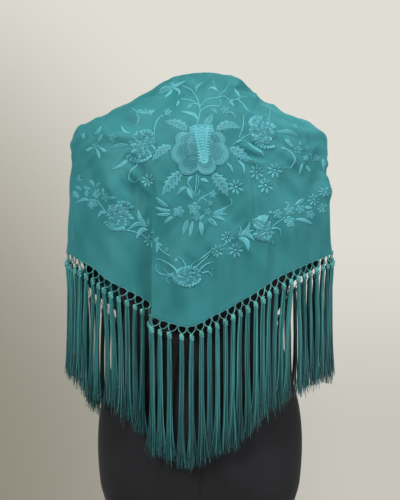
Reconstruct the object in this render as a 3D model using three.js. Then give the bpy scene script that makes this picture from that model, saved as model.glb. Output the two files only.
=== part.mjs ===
// A triangular flamenco shawl of embroidered crepe with a knotted net and a long fringe, worn by a
// limbless dress form on a round stand. Millimetres, +Z up. The show side, over the wearer's back,
// faces -Y. The origin is the middle of the stand's underside.
import * as THREE from "three";

// Driving dimensions of the stand
const BASE_RADIUS = 175;
const BASE_THICK = 14;
const BASE_EDGE = 5;
const POLE_RADIUS = 13;
const FLANGE_RADIUS = 48;
const FLANGE_THICK = 8;
const ROUND_SIDES = 32;

// Driving dimensions of the dress form
const TORSO_BOTTOM = 760;
const TORSO_TOP = 1436;
const TORSO_SIDES = 36;
const CAP_THICK = 7;
const CAP_OVERHANG = 2;
const CAP_ROUND = 2;

// Driving dimensions of the shawl
const CLOTH_THICK = 1.5;
const KNOT_PITCH = 14;
const KNOTS_PER_SIDE = 52;
const TIP_LEFT = 20;
const HEM_REFERENCE = 1100;
const LOCK_THICK = 4.5;

// Touching pieces stay this far apart
const SEAM_GAP = 0.3;

// The dress form: half width at the sides, depth to the back and to the front, and how square the
// outline is, 2 being an ellipse.
const TORSO_SECTIONS = [
  { z: 1436, side: 54, back: 52, front: 57, square: 2.0 },
  { z: 1420, side: 58, back: 56, front: 59, square: 2.0 },
  { z: 1408, side: 79, back: 62, front: 61, square: 1.9 },
  { z: 1396, side: 126, back: 72, front: 66, square: 1.75 },
  { z: 1384, side: 158.2, back: 82, front: 72, square: 1.8 },
  { z: 1370, side: 186.9, back: 91.7, front: 81, square: 1.9 },
  { z: 1350, side: 200, back: 101, front: 91, square: 2.0 },
  { z: 1315, side: 196, back: 109, front: 103, square: 2.1 },
  { z: 1265, side: 182, back: 112, front: 121, square: 2.1 },
  { z: 1215, side: 176, back: 106, front: 130, square: 2.1 },
  { z: 1160, side: 165, back: 94, front: 114, square: 2.1 },
  { z: 1080, side: 126, back: 82, front: 95, square: 2.1 },
  { z: 1000, side: 140, back: 86, front: 99, square: 2.1 },
  { z: 920, side: 162, back: 96, front: 104, square: 2.15 },
  { z: 860, side: 168, back: 99, front: 104, square: 2.2 },
  { z: 790, side: 164, back: 96, front: 100, square: 2.2 },
  { z: 760, side: 156, back: 90, front: 92, square: 2.2 },
];
const TORSO_LEVELS = [
  1436, 1420, 1408, 1396, 1384, 1370, 1350, 1315, 1265, 1215, 1160, 1120, 1080, 1040, 1000, 960,
  920, 860, 790, 760,
];

// The shawl's middle surface in the same terms. shift is how far the section lies to the right, for
// the shawl sits unevenly on the shoulders, and opening is the angle from the back, in degrees, at
// which the front edge lies.
const CLOTH_SECTIONS = [
  { z: 1456, side: 66, back: 58, front: 62, square: 2.0, shift: 6, opening: 108 },
  { z: 1442, side: 77.5, back: 61, front: 64, square: 2.0, shift: 7, opening: 110 },
  { z: 1426, side: 91.5, back: 67, front: 67, square: 1.95, shift: 2, opening: 114 },
  { z: 1409, side: 121, back: 76, front: 73, square: 1.8, shift: -2, opening: 122 },
  { z: 1393, side: 150, back: 87, front: 80, square: 1.8, shift: -4.5, opening: 132 },
  { z: 1376, side: 189, back: 96, front: 88, square: 1.85, shift: -4, opening: 142 },
  { z: 1356, side: 209, back: 105, front: 97, square: 2.0, shift: -1, opening: 150 },
  { z: 1310, side: 211, back: 115, front: 112, square: 2.1, shift: -1, opening: 159 },
  { z: 1265, side: 214, back: 119, front: 130, square: 2.1, shift: 0, opening: 164 },
  { z: 1215, side: 216, back: 121, front: 139, square: 2.1, shift: 0, opening: 167 },
  { z: 1150, side: 218, back: 122, front: 142, square: 2.15, shift: 0, opening: 169 },
  { z: 1040, side: 219, back: 122, front: 144, square: 2.15, shift: 0, opening: 170 },
  { z: 880, side: 219, back: 122, front: 146, square: 2.15, shift: 0, opening: 170 },
];

// The neck edge's height, from the back's middle (share 0) to the front edge (share 1).
const NECK_EDGE = [
  { share: 0, z: 1454 },
  { share: 0.25, z: 1452 },
  { share: 0.45, z: 1447 },
  { share: 0.6, z: 1436 },
  { share: 0.72, z: 1416 },
  { share: 0.82, z: 1390 },
  { share: 0.91, z: 1352 },
  { share: 1, z: 1305 },
];

// The hem's height at each distance round the cloth from the back's middle, left negative.
const HEM = [
  { round: -540, z: 872 },
  { round: -490, z: 942 },
  { round: -440, z: 1014 },
  { round: -400, z: 1064 },
  { round: -350, z: 1116 },
  { round: -300, z: 1160 },
  { round: -255, z: 1164 },
  { round: -192, z: 1147 },
  { round: -147, z: 1122 },
  { round: -120, z: 1106 },
  { round: -91, z: 1086 },
  { round: -74, z: 1067 },
  { round: -58, z: 1060 },
  { round: -38, z: 1054 },
  { round: -17, z: 1050.5 },
  { round: 0, z: 1056 },
  { round: 16, z: 1065 },
  { round: 37, z: 1075 },
  { round: 64, z: 1090 },
  { round: 84, z: 1101 },
  { round: 118, z: 1122 },
  { round: 147, z: 1136 },
  { round: 200, z: 1153 },
  { round: 250, z: 1163 },
  { round: 300, z: 1167 },
  { round: 350, z: 1142 },
  { round: 400, z: 1098 },
  { round: 440, z: 1046 },
  { round: 490, z: 968 },
  { round: 540, z: 890 },
];

// Folds that hang from the shoulders. round is where the trough's middle lies, left and right are
// how far it reaches to each side, depth is inwards, lean slides the trough sideways under the
// cloth beside it, and the fold grows from the height starts to the height full.
const FOLDS = [
  { round: -88, left: 58, right: 13, depth: 17, lean: 9, starts: 1290, full: 1120 },
  { round: -176, left: 26, right: 30, depth: 4, lean: 0, starts: 1260, full: 1150 },
  { round: 20, left: 20, right: 18, depth: 4, lean: 0, starts: 1270, full: 1120 },
  { round: 66, left: 22, right: 20, depth: 4.5, lean: 0, starts: 1290, full: 1130 },
  { round: 118, left: 26, right: 24, depth: 5, lean: 0, starts: 1280, full: 1150 },
  { round: 186, left: 28, right: 26, depth: 4, lean: 0, starts: 1240, full: 1160 },
  { round: -322, left: 34, right: 30, depth: 17, lean: -4, starts: 1345, full: 1180 },
  { round: -398, left: 30, right: 32, depth: 20, lean: -4, starts: 1330, full: 1140 },
  { round: -470, left: 26, right: 28, depth: 17, lean: -3, starts: 1290, full: 1080 },
  { round: 318, left: 30, right: 32, depth: 15, lean: 4, starts: 1345, full: 1190 },
  { round: 388, left: 32, right: 30, depth: 19, lean: 4, starts: 1335, full: 1140 },
  { round: 462, left: 28, right: 27, depth: 18, lean: 3, starts: 1300, full: 1090 },
];

// How far down each column, from neck edge to hem, the rows of the cloth lie.
const ROW_SHARES = [0, 0.035, 0.08, 0.13, 0.19, 0.26, 0.36, 0.49, 0.63, 0.77, 0.89, 1];

// A smooth curve through the rows of a table: the value of column name at the place at of column by.
function smooth(table, by, name, at) {
  const up = table[0][by] < table[table.length - 1][by];
  const rows = up ? table : [...table].reverse();
  const last = rows.length - 1;
  if (at <= rows[0][by]) return rows[0][name];
  if (at >= rows[last][by]) return rows[last][name];
  let i = 0;
  while (rows[i + 1][by] < at) i += 1;
  const slope = (k) => {
    const a = Math.max(k - 1, 0);
    const b = Math.min(k + 1, last);
    return (rows[b][name] - rows[a][name]) / (rows[b][by] - rows[a][by]);
  };
  const span = rows[i + 1][by] - rows[i][by];
  const t = (at - rows[i][by]) / span;
  const t2 = t * t;
  const t3 = t2 * t;
  return (
    (2 * t3 - 3 * t2 + 1) * rows[i][name] +
    (t3 - 2 * t2 + t) * span * slope(i) +
    (3 * t2 - 2 * t3) * rows[i + 1][name] +
    (t3 - t2) * span * slope(i + 1)
  );
}

// A point of a section's outline: angle 0 is the back's middle, a quarter turn the right side.
function outlinePoint(table, z, angle) {
  const side = smooth(table, "z", "side", z);
  const depth = smooth(table, "z", Math.cos(angle) > 0 ? "back" : "front", z);
  const power = 2 / smooth(table, "z", "square", z);
  const across = Math.sign(Math.sin(angle)) * Math.abs(Math.sin(angle)) ** power;
  const along = -Math.sign(Math.cos(angle)) * Math.abs(Math.cos(angle)) ** power;
  return [side * across, depth * along];
}

const RING_STEPS = 90;
const rings = new Map();

// The right half of the shawl's section at a height, as points with their distance from the back's
// middle, and the distance at which the front edge lies.
function clothRing(z) {
  const key = z.toFixed(3);
  if (rings.has(key)) return rings.get(key);
  const opening = THREE.MathUtils.degToRad(smooth(CLOTH_SECTIONS, "z", "opening", z));
  const points = [];
  for (let i = 0; i <= RING_STEPS; i += 1) {
    points.push(outlinePoint(CLOTH_SECTIONS, z, (opening * i) / RING_STEPS));
  }
  const along = [0];
  for (let i = 1; i <= RING_STEPS; i += 1) {
    const [x0, y0] = points[i - 1];
    const [x1, y1] = points[i];
    along.push(along[i - 1] + Math.hypot(x1 - x0, y1 - y0));
  }
  const ring = { points, along, reach: along[RING_STEPS] };
  rings.set(key, ring);
  return ring;
}

// The place and outward direction of the unfolded shawl, round millimetres from the back's middle.
function ringPoint(z, round) {
  const { points, along, reach } = clothRing(z);
  const hand = Math.sign(round) || 1;
  const at = Math.min(Math.abs(round), reach);
  let i = 1;
  while (i < RING_STEPS && along[i] < at) i += 1;
  const t = (at - along[i - 1]) / (along[i] - along[i - 1]);
  const [x0, y0] = points[i - 1];
  const [x1, y1] = points[i];
  const length = Math.hypot(x1 - x0, y1 - y0);
  const tangent = [(x1 - x0) / length, (y1 - y0) / length];
  return {
    x: smooth(CLOTH_SECTIONS, "z", "shift", z) + hand * (x0 + (x1 - x0) * t),
    y: y0 + (y1 - y0) * t,
    outX: hand * tangent[1],
    outY: -tangent[0],
    alongX: tangent[0],
    alongY: hand * tangent[1],
  };
}

const REFERENCE_REACH = clothRing(HEM_REFERENCE).reach;

function ease(t) {
  const c = Math.min(Math.max(t, 0), 1);
  return c * c * (3 - 2 * c);
}

// The shawl's middle surface: share runs from -1, the left front edge, through the back to 1.
function clothPoint(share, z) {
  const place = ringPoint(z, share * clothRing(z).reach);
  const round = share * REFERENCE_REACH;
  let inwards = 0;
  let sideways = 0;
  for (const fold of FOLDS) {
    const away = round - fold.round;
    const reach = away < 0 ? fold.left : fold.right;
    const bell = ease(1 - Math.abs(away) / reach);
    const grown = ease((fold.starts - z) / (fold.starts - fold.full));
    inwards += fold.depth * bell * grown;
    sideways += fold.lean * bell * grown;
  }
  return new THREE.Vector3(
    place.x - place.outX * inwards + place.alongX * sideways,
    place.y - place.outY * inwards + place.alongY * sideways,
    z,
  );
}

const neckHeight = (share) => smooth(NECK_EDGE, "share", "z", Math.abs(share));
const hemHeight = (share) => smooth(HEM, "round", "z", share * REFERENCE_REACH);
const hemPoint = (share) => clothPoint(share, hemHeight(share));

const TIP_SHARE = -TIP_LEFT / REFERENCE_REACH;
const HEM_STEPS = 900;

// Shares at equal steps along one leg of the hem, from the tip to the front edge, hand 1 or -1.
function knotShares(hand) {
  const shares = [TIP_SHARE];
  const along = [0];
  let before = hemPoint(TIP_SHARE);
  for (let i = 1; i <= HEM_STEPS; i += 1) {
    const share = TIP_SHARE + ((hand - TIP_SHARE) * i) / HEM_STEPS;
    const here = hemPoint(share);
    shares.push(share);
    along.push(along[i - 1] + here.distanceTo(before));
    before = here;
  }
  const length = along[HEM_STEPS];
  const count = Math.min(KNOTS_PER_SIDE, Math.round(length / KNOT_PITCH));
  const found = [];
  let k = 0;
  for (let i = 0; i <= count; i += 1) {
    const at = (length * i) / count;
    while (k < HEM_STEPS - 1 && along[k + 1] < at) k += 1;
    const t = (at - along[k]) / (along[k + 1] - along[k]);
    found.push(shares[k] + (shares[k + 1] - shares[k]) * Math.min(t, 1));
  }
  return { shares: found, length, pitch: length / count };
}

const LEGS = { left: knotShares(-1), right: knotShares(1) };

// A mesh from shared points and faces. Each face lists its corners so that it points outwards.
class Shell {
  constructor() {
    this.points = [];
    this.faces = [];
  }
  point(p) {
    this.points.push(p.x, p.y, p.z);
    return this.points.length / 3 - 1;
  }
  triangle(a, b, c) {
    this.faces.push(a, b, c);
  }
  quad(a, b, c, d) {
    this.triangle(a, b, c);
    this.triangle(a, c, d);
  }
  geometry() {
    const made = new THREE.BufferGeometry();
    made.setAttribute("position", new THREE.Float32BufferAttribute(this.points, 3));
    made.setIndex(this.faces);
    return made;
  }
}

// Crepe for the cloth, rayon for the fringe, jersey for the form, lacquer and steel for the stand
const MATERIALS = {
  crepe: { color: 0x2f8587, roughness: 0.72, metalness: 0 },
  rayon: { color: 0x1c5e5c, roughness: 0.42, metalness: 0 },
  jersey: { color: 0x17181b, roughness: 0.9, metalness: 0 },
  steel: { color: 0x9a9a98, roughness: 0.35, metalness: 1 },
  lacquer: { color: 0x202022, roughness: 0.5, metalness: 0.2 },
};

function meshOf(name, geometry, finish) {
  geometry.computeVertexNormals();
  const made = new THREE.Mesh(geometry, new THREE.MeshStandardMaterial(MATERIALS[finish]));
  made.name = name;
  return made;
}

// The cloth: one wall from the neck edge to the hem, its columns ending at the net's knots.
function makeCloth() {
  const shares = [...LEGS.left.shares.slice(1).reverse(), ...LEGS.right.shares];
  const grid = shares.map((share) => {
    const top = neckHeight(share);
    const drop = top - hemHeight(share);
    return ROW_SHARES.map((down) => clothPoint(share, top - drop * down));
  });
  const columns = grid.length;
  const rows = ROW_SHARES.length;
  const shell = new Shell();
  const outer = [];
  const inner = [];
  grid.forEach((column, i) => {
    outer.push([]);
    inner.push([]);
    column.forEach((middle, j) => {
      const across = grid[Math.min(i + 1, columns - 1)][j]
        .clone()
        .sub(grid[Math.max(i - 1, 0)][j]);
      const down = column[Math.min(j + 1, rows - 1)].clone().sub(column[Math.max(j - 1, 0)]);
      const out = new THREE.Vector3().crossVectors(down, across).normalize();
      if (j === rows - 1) out.set(across.y, -across.x, 0).normalize();
      out.multiplyScalar(CLOTH_THICK / 2);
      outer[i].push(shell.point(middle.clone().add(out)));
      inner[i].push(shell.point(middle.clone().sub(out)));
    });
  });
  for (let i = 0; i < columns - 1; i += 1) {
    for (let j = 0; j < rows - 1; j += 1) {
      shell.quad(outer[i][j], outer[i][j + 1], outer[i + 1][j + 1], outer[i + 1][j]);
      shell.quad(inner[i][j], inner[i + 1][j], inner[i + 1][j + 1], inner[i][j + 1]);
    }
    const last = rows - 1;
    shell.quad(outer[i][0], outer[i + 1][0], inner[i + 1][0], inner[i][0]);
    shell.quad(inner[i][last], inner[i + 1][last], outer[i + 1][last], outer[i][last]);
  }
  for (let j = 0; j < rows - 1; j += 1) {
    const end = columns - 1;
    shell.quad(outer[0][j], inner[0][j], inner[0][j + 1], outer[0][j + 1]);
    shell.quad(outer[end][j], outer[end][j + 1], inner[end][j + 1], inner[end][j]);
  }
  return meshOf("shawl_cloth", shell.geometry(), "crepe");
}

// Sizes of one mesh of the net, as distances down from the hem and half widths
const NET = {
  thick: CLOTH_THICK,
  header: 2.0,
  web: 1.3,
  splitAt: 6.4,
  crotch: 9.2,
  knotTop: 11,
  knotTopHalf: 1.5,
  root: 13.4,
  rootHalf: 2.1,
};

// A lock of fringe from its knot to its end: distance down, width and thickness as shares of the
// lock's own, and how much of its lean it has there.
const LOCK_RINGS = [
  { down: 19, wide: 1.1, thick: 1.15, lean: 0 },
  { down: 26, wide: 0.8, thick: 0.8, lean: 0.1 },
  { down: 90, wide: 1, thick: 1, lean: 0.8 },
  { down: 198, wide: 0.95, thick: 0.8, lean: 1, end: true },
];

// A repeatable unevenness between -1 and 1 for the number k of a lock.
const uneven = (k, kind) => Math.sin(k * 12.9898 + kind * 78.233);

// How much longer the fringe hangs at the back's middle, fading out at MIDDLE_SHARE of the way round
const MIDDLE_EXTRA = 21;
const MIDDLE_SHARE = 0.3;
const END_UNEVEN = 4;

// A lock's width and sway as shares of the level distance between two knots
const LOCK_SHARE = 0.56;
const SWAY_SHARE = 0.1;

// Places where the locks of the fringe lean apart and leave a gap: spread millimetres to each side,
// less and less until reach.
const PARTINGS = [
  { round: -158, spread: 6.5, reach: 64 },
  { round: 152, spread: 6.5, reach: 64 },
  { round: -416, spread: 5, reach: 56 },
  { round: 412, spread: 5, reach: 56 },
];

// How far the locks at a share of the way round lean to the right to leave the gaps.
function partingLean(share) {
  let lean = 0;
  for (const parting of PARTINGS) {
    const away = share * REFERENCE_REACH - parting.round;
    const fading = Math.max(0, 1 - Math.abs(away) / parting.reach);
    lean += Math.sign(away) * parting.spread * fading;
  }
  return lean;
}

// One leg's net and fringe: a header strip under the hem, round holes, knots and hanging locks.
function makeFringe(name, leg, other, hand) {
  const shell = new Shell();
  const knots = leg.shares.length - 1;
  const firstGap = SEAM_GAP / 2 / leg.pitch;
  const hem = leg.shares.map(hemPoint);
  const place = (index) => {
    if (index < 0) return hem[0].clone().lerp(hemPoint(other.shares[1]), -index);
    const low = Math.min(Math.floor(index), knots - 1);
    return hem[low].clone().lerp(hem[low + 1], index - low);
  };
  const hemStep = (index) => place(Math.min(index + 0.5, knots)).sub(place(index - 0.5));
  const alongHem = (index) => hemStep(index).setZ(0).normalize();
  const outOf = (index) => {
    const t = alongHem(index);
    return new THREE.Vector3(t.y * hand, -t.x * hand, 0);
  };
  // The seam's gap is square to the hem, so it drops further where the hem is steep.
  const seamDrop = (index) => {
    const step = hemStep(index);
    return (SEAM_GAP * step.length()) / Math.hypot(step.x, step.y);
  };
  // The two points, outside and inside, at shift millimetres along from a place on the hem.
  const pair = (index, shift, down) => {
    const at = Math.min(Math.max(index + shift / leg.pitch, firstGap), knots);
    const middle = place(at);
    middle.z -= seamDrop(index) + down;
    const out = outOf(index).multiplyScalar(NET.thick / 2);
    return [shell.point(middle.clone().add(out)), shell.point(middle.clone().sub(out))];
  };
  const ringAt = (index, down, halfWide, halfThick, sway) => {
    const middle = place(index);
    middle.z -= seamDrop(index) + down;
    const t = alongHem(index);
    const out = outOf(index);
    middle.addScaledVector(t, sway);
    const corner = (a, b) =>
      shell.point(middle.clone().addScaledVector(t, a).addScaledVector(out, b));
    return {
      startOut: corner(-halfWide, halfThick),
      endOut: corner(halfWide, halfThick),
      endIn: corner(halfWide, -halfThick),
      startIn: corner(-halfWide, -halfThick),
    };
  };
  // Faces are listed for the right-hand leg, and turned round on the left one.
  const quad = (a, b, c, d) => (hand > 0 ? shell.quad(a, b, c, d) : shell.quad(d, c, b, a));
  const triangle = (a, b, c) => (hand > 0 ? shell.triangle(a, b, c) : shell.triangle(c, b, a));
  const both = (a, b, c, d) => {
    quad(a[0], b[0], c[0], d[0]);
    quad(d[1], c[1], b[1], a[1]);
  };
  const bothTriangle = (a, b, c) => {
    triangle(a[0], b[0], c[0]);
    triangle(c[1], b[1], a[1]);
  };
  // A wall between the outside and the inside along a lower or outer edge, from a to b.
  const edge = (a, b) => quad(a[0], a[1], b[1], b[0]);

  const tops = [];
  const crotches = [];
  for (let i = 0; i <= knots; i += 1) {
    tops.push(pair(i, 0, 0));
    crotches.push(pair(i, 0, NET.crotch));
  }
  const cells = [];
  for (let i = 0; i < knots; i += 1) {
    const mid = i + 0.5;
    const root = ringAt(mid, NET.root, NET.rootHalf, NET.thick / 2, 0);
    cells.push({
      a: pair(i, NET.web, NET.header),
      b: pair(i + 1, -NET.web, NET.header),
      m: pair(i, NET.web, NET.splitAt),
      n: pair(i + 1, -NET.web, NET.splitAt),
      c: pair(mid, -NET.knotTopHalf, NET.knotTop),
      d: pair(mid, NET.knotTopHalf, NET.knotTop),
      e: [root.startOut, root.startIn],
      f: [root.endOut, root.endIn],
      root,
    });
  }
  cells.forEach((cell, i) => {
    const { a, b, m, n, c, d, e, f } = cell;
    const v = crotches[i];
    const w = crotches[i + 1];
    both(tops[i], a, b, tops[i + 1]);
    both(m, v, e, c);
    both(n, d, f, w);
    both(c, e, f, d);
    edge(tops[i + 1], tops[i]);
    edge(v, e);
    edge(f, w);
    edge(a, b);
    edge(b, n);
    edge(n, d);
    edge(d, c);
    edge(c, m);
    edge(m, a);
    if (i > 0) {
      const before = cells[i - 1];
      bothTriangle(tops[i], before.b, a);
      both(before.b, before.n, m, a);
      bothTriangle(before.n, v, m);
    } else {
      both(tops[0], v, m, a);
      edge(tops[0], v);
    }
    if (i === knots - 1) {
      both(b, n, w, tops[i + 1]);
      edge(w, tops[i + 1]);
    }
    let ring = cell.root;
    const number = i * 2 + (hand > 0 ? 1 : 0);
    const share = (leg.shares[i] + leg.shares[i + 1]) / 2;
    const spacing = Math.hypot(hem[i + 1].x - hem[i].x, hem[i + 1].y - hem[i].y);
    const longer =
      MIDDLE_EXTRA * ease(1 - Math.abs(share) / MIDDLE_SHARE) + END_UNEVEN * uneven(number, 1);
    const lean = hand * partingLean(share) + SWAY_SHARE * spacing * uneven(number, 2);
    for (const row of LOCK_RINGS) {
      const down = row.down + (row.end ? longer : 0);
      const halfWide = (LOCK_SHARE * spacing * row.wide) / 2;
      const halfThick = (LOCK_THICK * row.thick) / 2;
      const next = ringAt(i + 0.5, down, halfWide, halfThick, lean * row.lean);
      quad(ring.startOut, next.startOut, next.endOut, ring.endOut);
      quad(ring.endOut, next.endOut, next.endIn, ring.endIn);
      quad(ring.endIn, next.endIn, next.startIn, ring.startIn);
      quad(ring.startIn, next.startIn, next.startOut, ring.startOut);
      ring = next;
    }
    quad(ring.startOut, ring.startIn, ring.endIn, ring.endOut);
  });
  return meshOf(name, shell.geometry(), "rayon");
}

// The limbless torso: a closed solid through its sections, flat at the neck and at the bottom.
function makeTorso() {
  const shell = new Shell();
  const loops = TORSO_LEVELS.map((z) => {
    const loop = [];
    for (let i = 0; i < TORSO_SIDES; i += 1) {
      const [x, y] = outlinePoint(TORSO_SECTIONS, z, (2 * Math.PI * i) / TORSO_SIDES);
      loop.push(shell.point({ x, y, z }));
    }
    return loop;
  });
  for (let j = 0; j < loops.length - 1; j += 1) {
    for (let i = 0; i < TORSO_SIDES; i += 1) {
      const k = (i + 1) % TORSO_SIDES;
      shell.quad(loops[j][i], loops[j + 1][i], loops[j + 1][k], loops[j][k]);
    }
  }
  const top = shell.point({ x: 0, y: 0, z: TORSO_TOP });
  const bottom = shell.point({ x: 0, y: 0, z: TORSO_BOTTOM });
  const lowest = loops[loops.length - 1];
  for (let i = 0; i < TORSO_SIDES; i += 1) {
    const k = (i + 1) % TORSO_SIDES;
    shell.triangle(top, loops[0][i], loops[0][k]);
    shell.triangle(bottom, lowest[k], lowest[i]);
  }
  return meshOf("form_torso", shell.geometry(), "jersey");
}

// A round piece about the vertical axis from a closed profile of radius and height.
function makeRound(name, profile, finish) {
  const points = profile.map(([radius, z]) => new THREE.Vector2(radius, z));
  const turned = new THREE.LatheGeometry(points, ROUND_SIDES);
  turned.rotateX(Math.PI / 2);
  return meshOf(name, turned, finish);
}

// The flat cap that closes the neck, a little wider than the neck and turned over at its edge.
function makeNeckCap() {
  const across = smooth(TORSO_SECTIONS, "z", "side", TORSO_TOP) + CAP_OVERHANG;
  const low = TORSO_TOP + SEAM_GAP;
  const high = low + CAP_THICK;
  return makeRound(
    "form_neck_cap",
    [
      [0, low],
      [across, low],
      [across, high - CAP_ROUND],
      [across - CAP_ROUND, high],
      [0, high],
    ],
    "lacquer",
  );
}

function makeStand() {
  const flangeTop = TORSO_BOTTOM - SEAM_GAP;
  const flangeLow = flangeTop - FLANGE_THICK;
  const poleTop = flangeLow - SEAM_GAP;
  const baseTop = BASE_THICK;
  const poleLow = baseTop + SEAM_GAP;
  const rise = BASE_THICK - BASE_EDGE;
  const flatTop = POLE_RADIUS * 3;
  const slope = (share) => [
    BASE_RADIUS + (flatTop - BASE_RADIUS) * share,
    BASE_EDGE + rise * Math.sin((share * Math.PI) / 2),
  ];
  const base = [[0, 0], [BASE_RADIUS, 0], slope(0), slope(0.3), slope(0.65), slope(1), [0, baseTop]];
  const pole = [
    [0, poleLow],
    [POLE_RADIUS, poleLow],
    [POLE_RADIUS, poleTop],
    [0, poleTop],
  ];
  const flange = [
    [0, flangeLow],
    [FLANGE_RADIUS, flangeLow],
    [FLANGE_RADIUS, flangeTop],
    [0, flangeTop],
  ];
  return [
    makeRound("stand_base", base, "lacquer"),
    makeRound("stand_pole", pole, "steel"),
    makeRound("stand_flange", flange, "steel"),
  ];
}

const shawl = new THREE.Group();
shawl.add(makeCloth());
shawl.add(makeFringe("shawl_fringe_left", LEGS.left, LEGS.right, -1));
shawl.add(makeFringe("shawl_fringe_right", LEGS.right, LEGS.left, 1));

const dressForm = new THREE.Group();
dressForm.add(makeTorso(), makeNeckCap(), ...makeStand());

const part = new THREE.Group();
part.add(shawl, dressForm);

export default part;
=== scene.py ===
# %% [markdown]
# A flamenco shawl on a dress form. The cloth is a triangle of turquoise crepe, embroidered in silk
# of the same colour and edged with a knotted net and a long rayon fringe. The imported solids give
# the sizes; this script dresses them, one piece or finish in each step.

# %% Load the frame
import math

import bmesh
import bpy
import numpy as np
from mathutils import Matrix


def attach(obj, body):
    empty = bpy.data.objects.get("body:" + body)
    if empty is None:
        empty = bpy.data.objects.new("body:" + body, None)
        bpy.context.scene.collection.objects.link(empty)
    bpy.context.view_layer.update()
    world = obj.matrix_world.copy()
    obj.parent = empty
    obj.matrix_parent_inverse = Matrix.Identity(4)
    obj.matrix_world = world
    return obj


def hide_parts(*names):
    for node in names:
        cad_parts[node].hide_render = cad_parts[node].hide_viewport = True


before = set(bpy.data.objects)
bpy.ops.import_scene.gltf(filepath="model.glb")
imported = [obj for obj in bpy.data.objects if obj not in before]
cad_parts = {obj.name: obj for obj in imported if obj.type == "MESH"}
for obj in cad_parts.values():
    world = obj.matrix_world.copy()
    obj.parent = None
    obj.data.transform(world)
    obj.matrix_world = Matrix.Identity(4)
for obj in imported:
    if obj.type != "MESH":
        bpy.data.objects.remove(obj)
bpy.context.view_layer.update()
MM = 0.001
print("solids:", sorted(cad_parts))

# %% [markdown]
# A garment pattern is a short table of measurements joined by smooth curves. Each table below has a
# row for each height or place, and smooth() draws the curve through one of its columns. Sizes are in
# millimetres and become metres only when a mesh is made.

# %% Smooth curves through a table
def table(names, *rows):
    """A table as a dict of columns, sorted by its first column."""
    names = names.split()
    data = np.array(sorted(rows), float).T
    return dict(zip(names, data))


def smooth(rows, by, name, at):
    """The value of column name at the place at of column by."""
    x, v = rows[by], rows[name]
    slope = np.empty_like(v)
    slope[1:-1] = (v[2:] - v[:-2]) / (x[2:] - x[:-2])
    slope[0] = (v[1] - v[0]) / (x[1] - x[0])
    slope[-1] = (v[-1] - v[-2]) / (x[-1] - x[-2])
    at = np.clip(at, x[0], x[-1])
    i = np.clip(np.searchsorted(x, at, side="right") - 1, 0, len(x) - 2)
    span = x[i + 1] - x[i]
    t = (at - x[i]) / span
    t2, t3 = t * t, t * t * t
    return (
        (2 * t3 - 3 * t2 + 1) * v[i]
        + (t3 - 2 * t2 + t) * span * slope[i]
        + (3 * t2 - 2 * t3) * v[i + 1]
        + (t3 - t2) * span * slope[i + 1]
    )


def rows_of(rows):
    """A table's rows, each as a dict of its columns."""
    return [dict(zip(rows, values)) for values in zip(*rows.values())]


def ease(t):
    """A smooth step from 0 to 1."""
    c = np.clip(t, 0, 1)
    return c * c * (3 - 2 * c)


print("a smooth step a quarter of the way along:", float(ease(0.25)))

# %% [markdown]
# A dress form and a garment on it can both be described by level sections, as a tailor measures a
# body. The tables give the sections of the form and of the shawl, the heights of the neck edge and
# the height of the hem, the same ones that the solids were made from.

# %% The dress form's and the shawl's sections
# side is the half width, back and front the depths, square the roundness, 2 being an ellipse.
TORSO = table(
    "z side back front square",
    (1436, 54, 52, 57, 2.0),
    (1420, 58, 56, 59, 2.0),
    (1408, 79, 62, 61, 1.9),
    (1396, 126, 72, 66, 1.75),
    (1384, 158.2, 82, 72, 1.8),
    (1370, 186.9, 91.7, 81, 1.9),
    (1350, 200, 101, 91, 2.0),
    (1315, 196, 109, 103, 2.1),
    (1265, 182, 112, 121, 2.1),
    (1215, 176, 106, 130, 2.1),
    (1160, 165, 94, 114, 2.1),
    (1080, 126, 82, 95, 2.1),
    (1000, 140, 86, 99, 2.1),
    (920, 162, 96, 104, 2.15),
    (860, 168, 99, 104, 2.2),
    (790, 164, 96, 100, 2.2),
    (760, 156, 90, 92, 2.2),
)
# shift is how far the section lies to the right, opening where the front edge lies, in degrees.
CLOTH = table(
    "z side back front square shift opening",
    (1456, 66, 58, 62, 2.0, 6, 108),
    (1442, 77.5, 61, 64, 2.0, 7, 110),
    (1426, 91.5, 67, 67, 1.95, 2, 114),
    (1409, 121, 76, 73, 1.8, -2, 122),
    (1393, 150, 87, 80, 1.8, -4.5, 132),
    (1376, 189, 96, 88, 1.85, -4, 142),
    (1356, 209, 105, 97, 2.0, -1, 150),
    (1310, 211, 115, 112, 2.1, -1, 159),
    (1265, 214, 119, 130, 2.1, 0, 164),
    (1215, 216, 121, 139, 2.1, 0, 167),
    (1150, 218, 122, 142, 2.15, 0, 169),
    (1040, 219, 122, 144, 2.15, 0, 170),
    (880, 219, 122, 146, 2.15, 0, 170),
)
NECK_EDGE = table(
    "share z",
    (0, 1454), (0.25, 1452), (0.45, 1447), (0.6, 1436),
    (0.72, 1416), (0.82, 1390), (0.91, 1352), (1, 1305),
)
HEM = table(
    "round z",
    (-540, 872), (-490, 942), (-440, 1014), (-400, 1064), (-350, 1116), (-300, 1160),
    (-255, 1164), (-192, 1147), (-147, 1122), (-120, 1106), (-91, 1086), (-74, 1067),
    (-58, 1060), (-38, 1054), (-17, 1050.5), (0, 1056), (16, 1065), (37, 1075), (64, 1090),
    (84, 1101), (118, 1122), (147, 1136), (200, 1153), (250, 1163), (300, 1167),
    (350, 1142), (400, 1098), (440, 1046), (490, 968), (540, 890),
)
print(len(TORSO["z"]), "sections of the form and", len(CLOTH["z"]), "of the shawl")


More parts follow.
